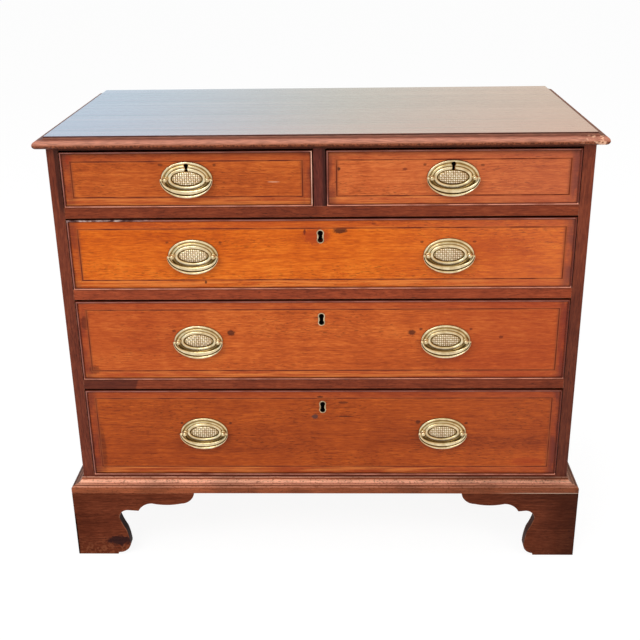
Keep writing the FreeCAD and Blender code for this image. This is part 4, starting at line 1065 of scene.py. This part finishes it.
def make_handles():
    """Replace each drawer's plates, posts and bails by finer ones of the same size."""
    brass = metal("aged_brass", *PLATE_BRASS, roughness=0.3, dress=brass_dress)
    weave_brass = metal("weave_brass", *WEAVE_BRASS, roughness=0.3, dress=brass_dress)
    for child, joint in JOINTS.items():
        if "_bail" not in child:
            continue
        drawer = joint["parent"]
        x, axis_y, z = joint["pos_m"]
        bail = make_bail(child + "_fine", x, z, axis_y, brass)
        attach(bail, child)
        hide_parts(child)
        plate = make_plate(child.replace("bail", "plate"), x, z, brass)
        if drawer.startswith("drawer_1"):
            cut_keyhole(plate, x, z)
        medallion = make_medallion(child.replace("bail", "weave"), x, z, weave_brass)
        back_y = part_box(drawer + "_front")[1].y
        posts = []
        for side in (-1, 1):
            posts += make_post(x + side * POST_X, z, axis_y, back_y, brass)
        for part in (plate, medallion, joined(child.replace("bail", "posts"), posts)):
            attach(part, drawer)
            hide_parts(drawer + "_handle_plates")


# ------------------------------ stage

FLOOR_HALF = 60.0
FLOOR_COLOUR = (0.9, 0.9, 0.9, 1)
FLOOR_GLOW = 0.85
GLOW_STRENGTH = 1.07
SKY_LIGHT = 0.5
WHITE = (255, 255, 255)
# the sky as gloss shows it, from left to right
SKY_TINTS = ((0.0, (212, 238, 255)), (0.5, (232, 240, 232)), (1.0, (250, 228, 206)))


def seen_directly(look):
    """1 for rays from the camera, from gloss and through glass, which all see the white."""
    path = look.node("ShaderNodeLightPath").outputs
    seen = look.math("MAXIMUM", path["Is Camera Ray"], path["Is Glossy Ray"])
    return look.math("MAXIMUM", seen, path["Is Transmission Ray"])


def make_stage():
    """A white floor that keeps a soft shadow."""
    mesh = bpy.data.meshes.new("floor")
    corners = [(x * FLOOR_HALF, y * FLOOR_HALF, 0) for x, y in ((-1, -1), (1, -1), (1, 1), (-1, 1))]
    mesh.from_pydata(corners, [], [(0, 1, 2, 3)])
    floor = bpy.data.objects.new("floor", mesh)
    bpy.context.scene.collection.objects.link(floor)
    look = Look(bpy.data.materials.new("floor_white"))
    diffuse = look.node("ShaderNodeBsdfDiffuse", {"Color": FLOOR_COLOUR})
    glow = look.node("ShaderNodeEmission", {"Color": rgba(WHITE), "Strength": GLOW_STRENGTH})
    share = look.times(seen_directly(look), FLOOR_GLOW)
    both = look.node("ShaderNodeMixShader", {0: share, 1: diffuse.outputs[0], 2: glow.outputs[0]})
    mesh.materials.append(look.surface(both.outputs[0]))


def make_world():
    """White where it is seen and dimmer as a light; gloss sees it cooler at the left."""
    world = bpy.data.worlds.new("studio")
    bpy.context.scene.world = world
    look = Look(world, "Generated")
    tint = look.ramp(look.span(look.xyz[0], -0.35, 0.35), *SKY_TINTS)
    path = look.node("ShaderNodeLightPath").outputs
    colour = look.mix(path["Is Glossy Ray"], WHITE, tint)
    strength = look.span(seen_directly(look), 0.0, 1.0, SKY_LIGHT, 1.0)
    background = look.node("ShaderNodeBackground", {"Color": colour, "Strength": strength})
    look.surface(background.outputs[0], "ShaderNodeOutputWorld")


def area_light(name, place, target, size, power, colour=(1, 1, 1), glossy=True):
    """A soft rectangular lamp that faces a point, and may be left out of reflections."""
    lamp = bpy.data.lights.new(name, "AREA")
    lamp.shape = "RECTANGLE"
    lamp.size, lamp.size_y = size
    lamp.energy = power
    lamp.color = colour
    made = bpy.data.objects.new(name, lamp)
    made.location = place
    made.rotation_euler = (Vector(target) - Vector(place)).to_track_quat("-Z", "Y").to_euler()
    made.visible_camera = False
    made.visible_glossy = glossy
    bpy.context.scene.collection.objects.link(made)


def make_lights():
    """A broad key from the upper left, a fill from the right and a soft lamp overhead."""
    area_light("key", place=(-1.5, -2.4, 2.9), target=(0, 0, 0.5), size=(2.2, 1.6), power=62)
    area_light("fill", place=(2.4, -2.4, 1.7), target=(0, 0, 0.5), size=(1.8, 1.8), power=26,
               colour=(1.0, 0.97, 0.94), glossy=False)
    area_light("overhead", place=(0.2, 0.2, 3.2), target=(0, 0, 0.8), size=(2.6, 2.0), power=26)


CAMERA_PLACE = (0.0437151731, FRONT_Y - 1.61238979, 1.12760496)
CAMERA_YAW = math.radians(-1.64356)
CAMERA_PITCH = math.radians(-22.05712)
CAMERA_ROLL = math.radians(-0.81517)
FOCAL_PIXELS = 996.773
FRAME_PIXELS = 640
SENSOR = 36.0


def make_camera():
    """The camera at the photograph's place."""
    ahead = Vector((math.sin(CAMERA_YAW) * math.cos(CAMERA_PITCH),
                    math.cos(CAMERA_YAW) * math.cos(CAMERA_PITCH), math.sin(CAMERA_PITCH)))
    level = Vector((math.cos(CAMERA_YAW), -math.sin(CAMERA_YAW), 0))
    upright = level.cross(ahead)
    right = math.cos(CAMERA_ROLL) * level + math.sin(CAMERA_ROLL) * upright
    up = -math.sin(CAMERA_ROLL) * level + math.cos(CAMERA_ROLL) * upright
    lens = bpy.data.cameras.new("camera")
    lens.sensor_width = SENSOR
    lens.lens = SENSOR * FOCAL_PIXELS / FRAME_PIXELS
    camera = bpy.data.objects.new("camera", lens)
    axes = Matrix((right, up, -ahead)).transposed().to_4x4()
    camera.matrix_world = Matrix.Translation(CAMERA_PLACE) @ axes
    bpy.context.scene.collection.objects.link(camera)
    bpy.context.scene.camera = camera


# how far the edges of each worn piece are rounded
TOP_ROUNDING = 0.5 * MM
ROUNDINGS = {
    "drawer_rails": 0.5 * MM, "top_rails": 0.4 * MM, "short_drawer_divider": 0.5 * MM,
    "side_left": 0.9 * MM, "side_right": 0.9 * MM, "base_moulding": 0.4 * MM,
    "foot_front_left": 0.9 * MM, "foot_front_right": 0.9 * MM, "feet_rear": 0.9 * MM,
}

bpy.context.scene.view_settings.view_transform = "Standard"
dress_woodwork()
dress_locks()
make_handles()
dress_top_edge(soften("top", TOP_ROUNDING, "carcass"))
for softened, rounding in ROUNDINGS.items():
    soften(softened, rounding, "carcass")
make_stage()
make_world()
make_lights()
make_camera()
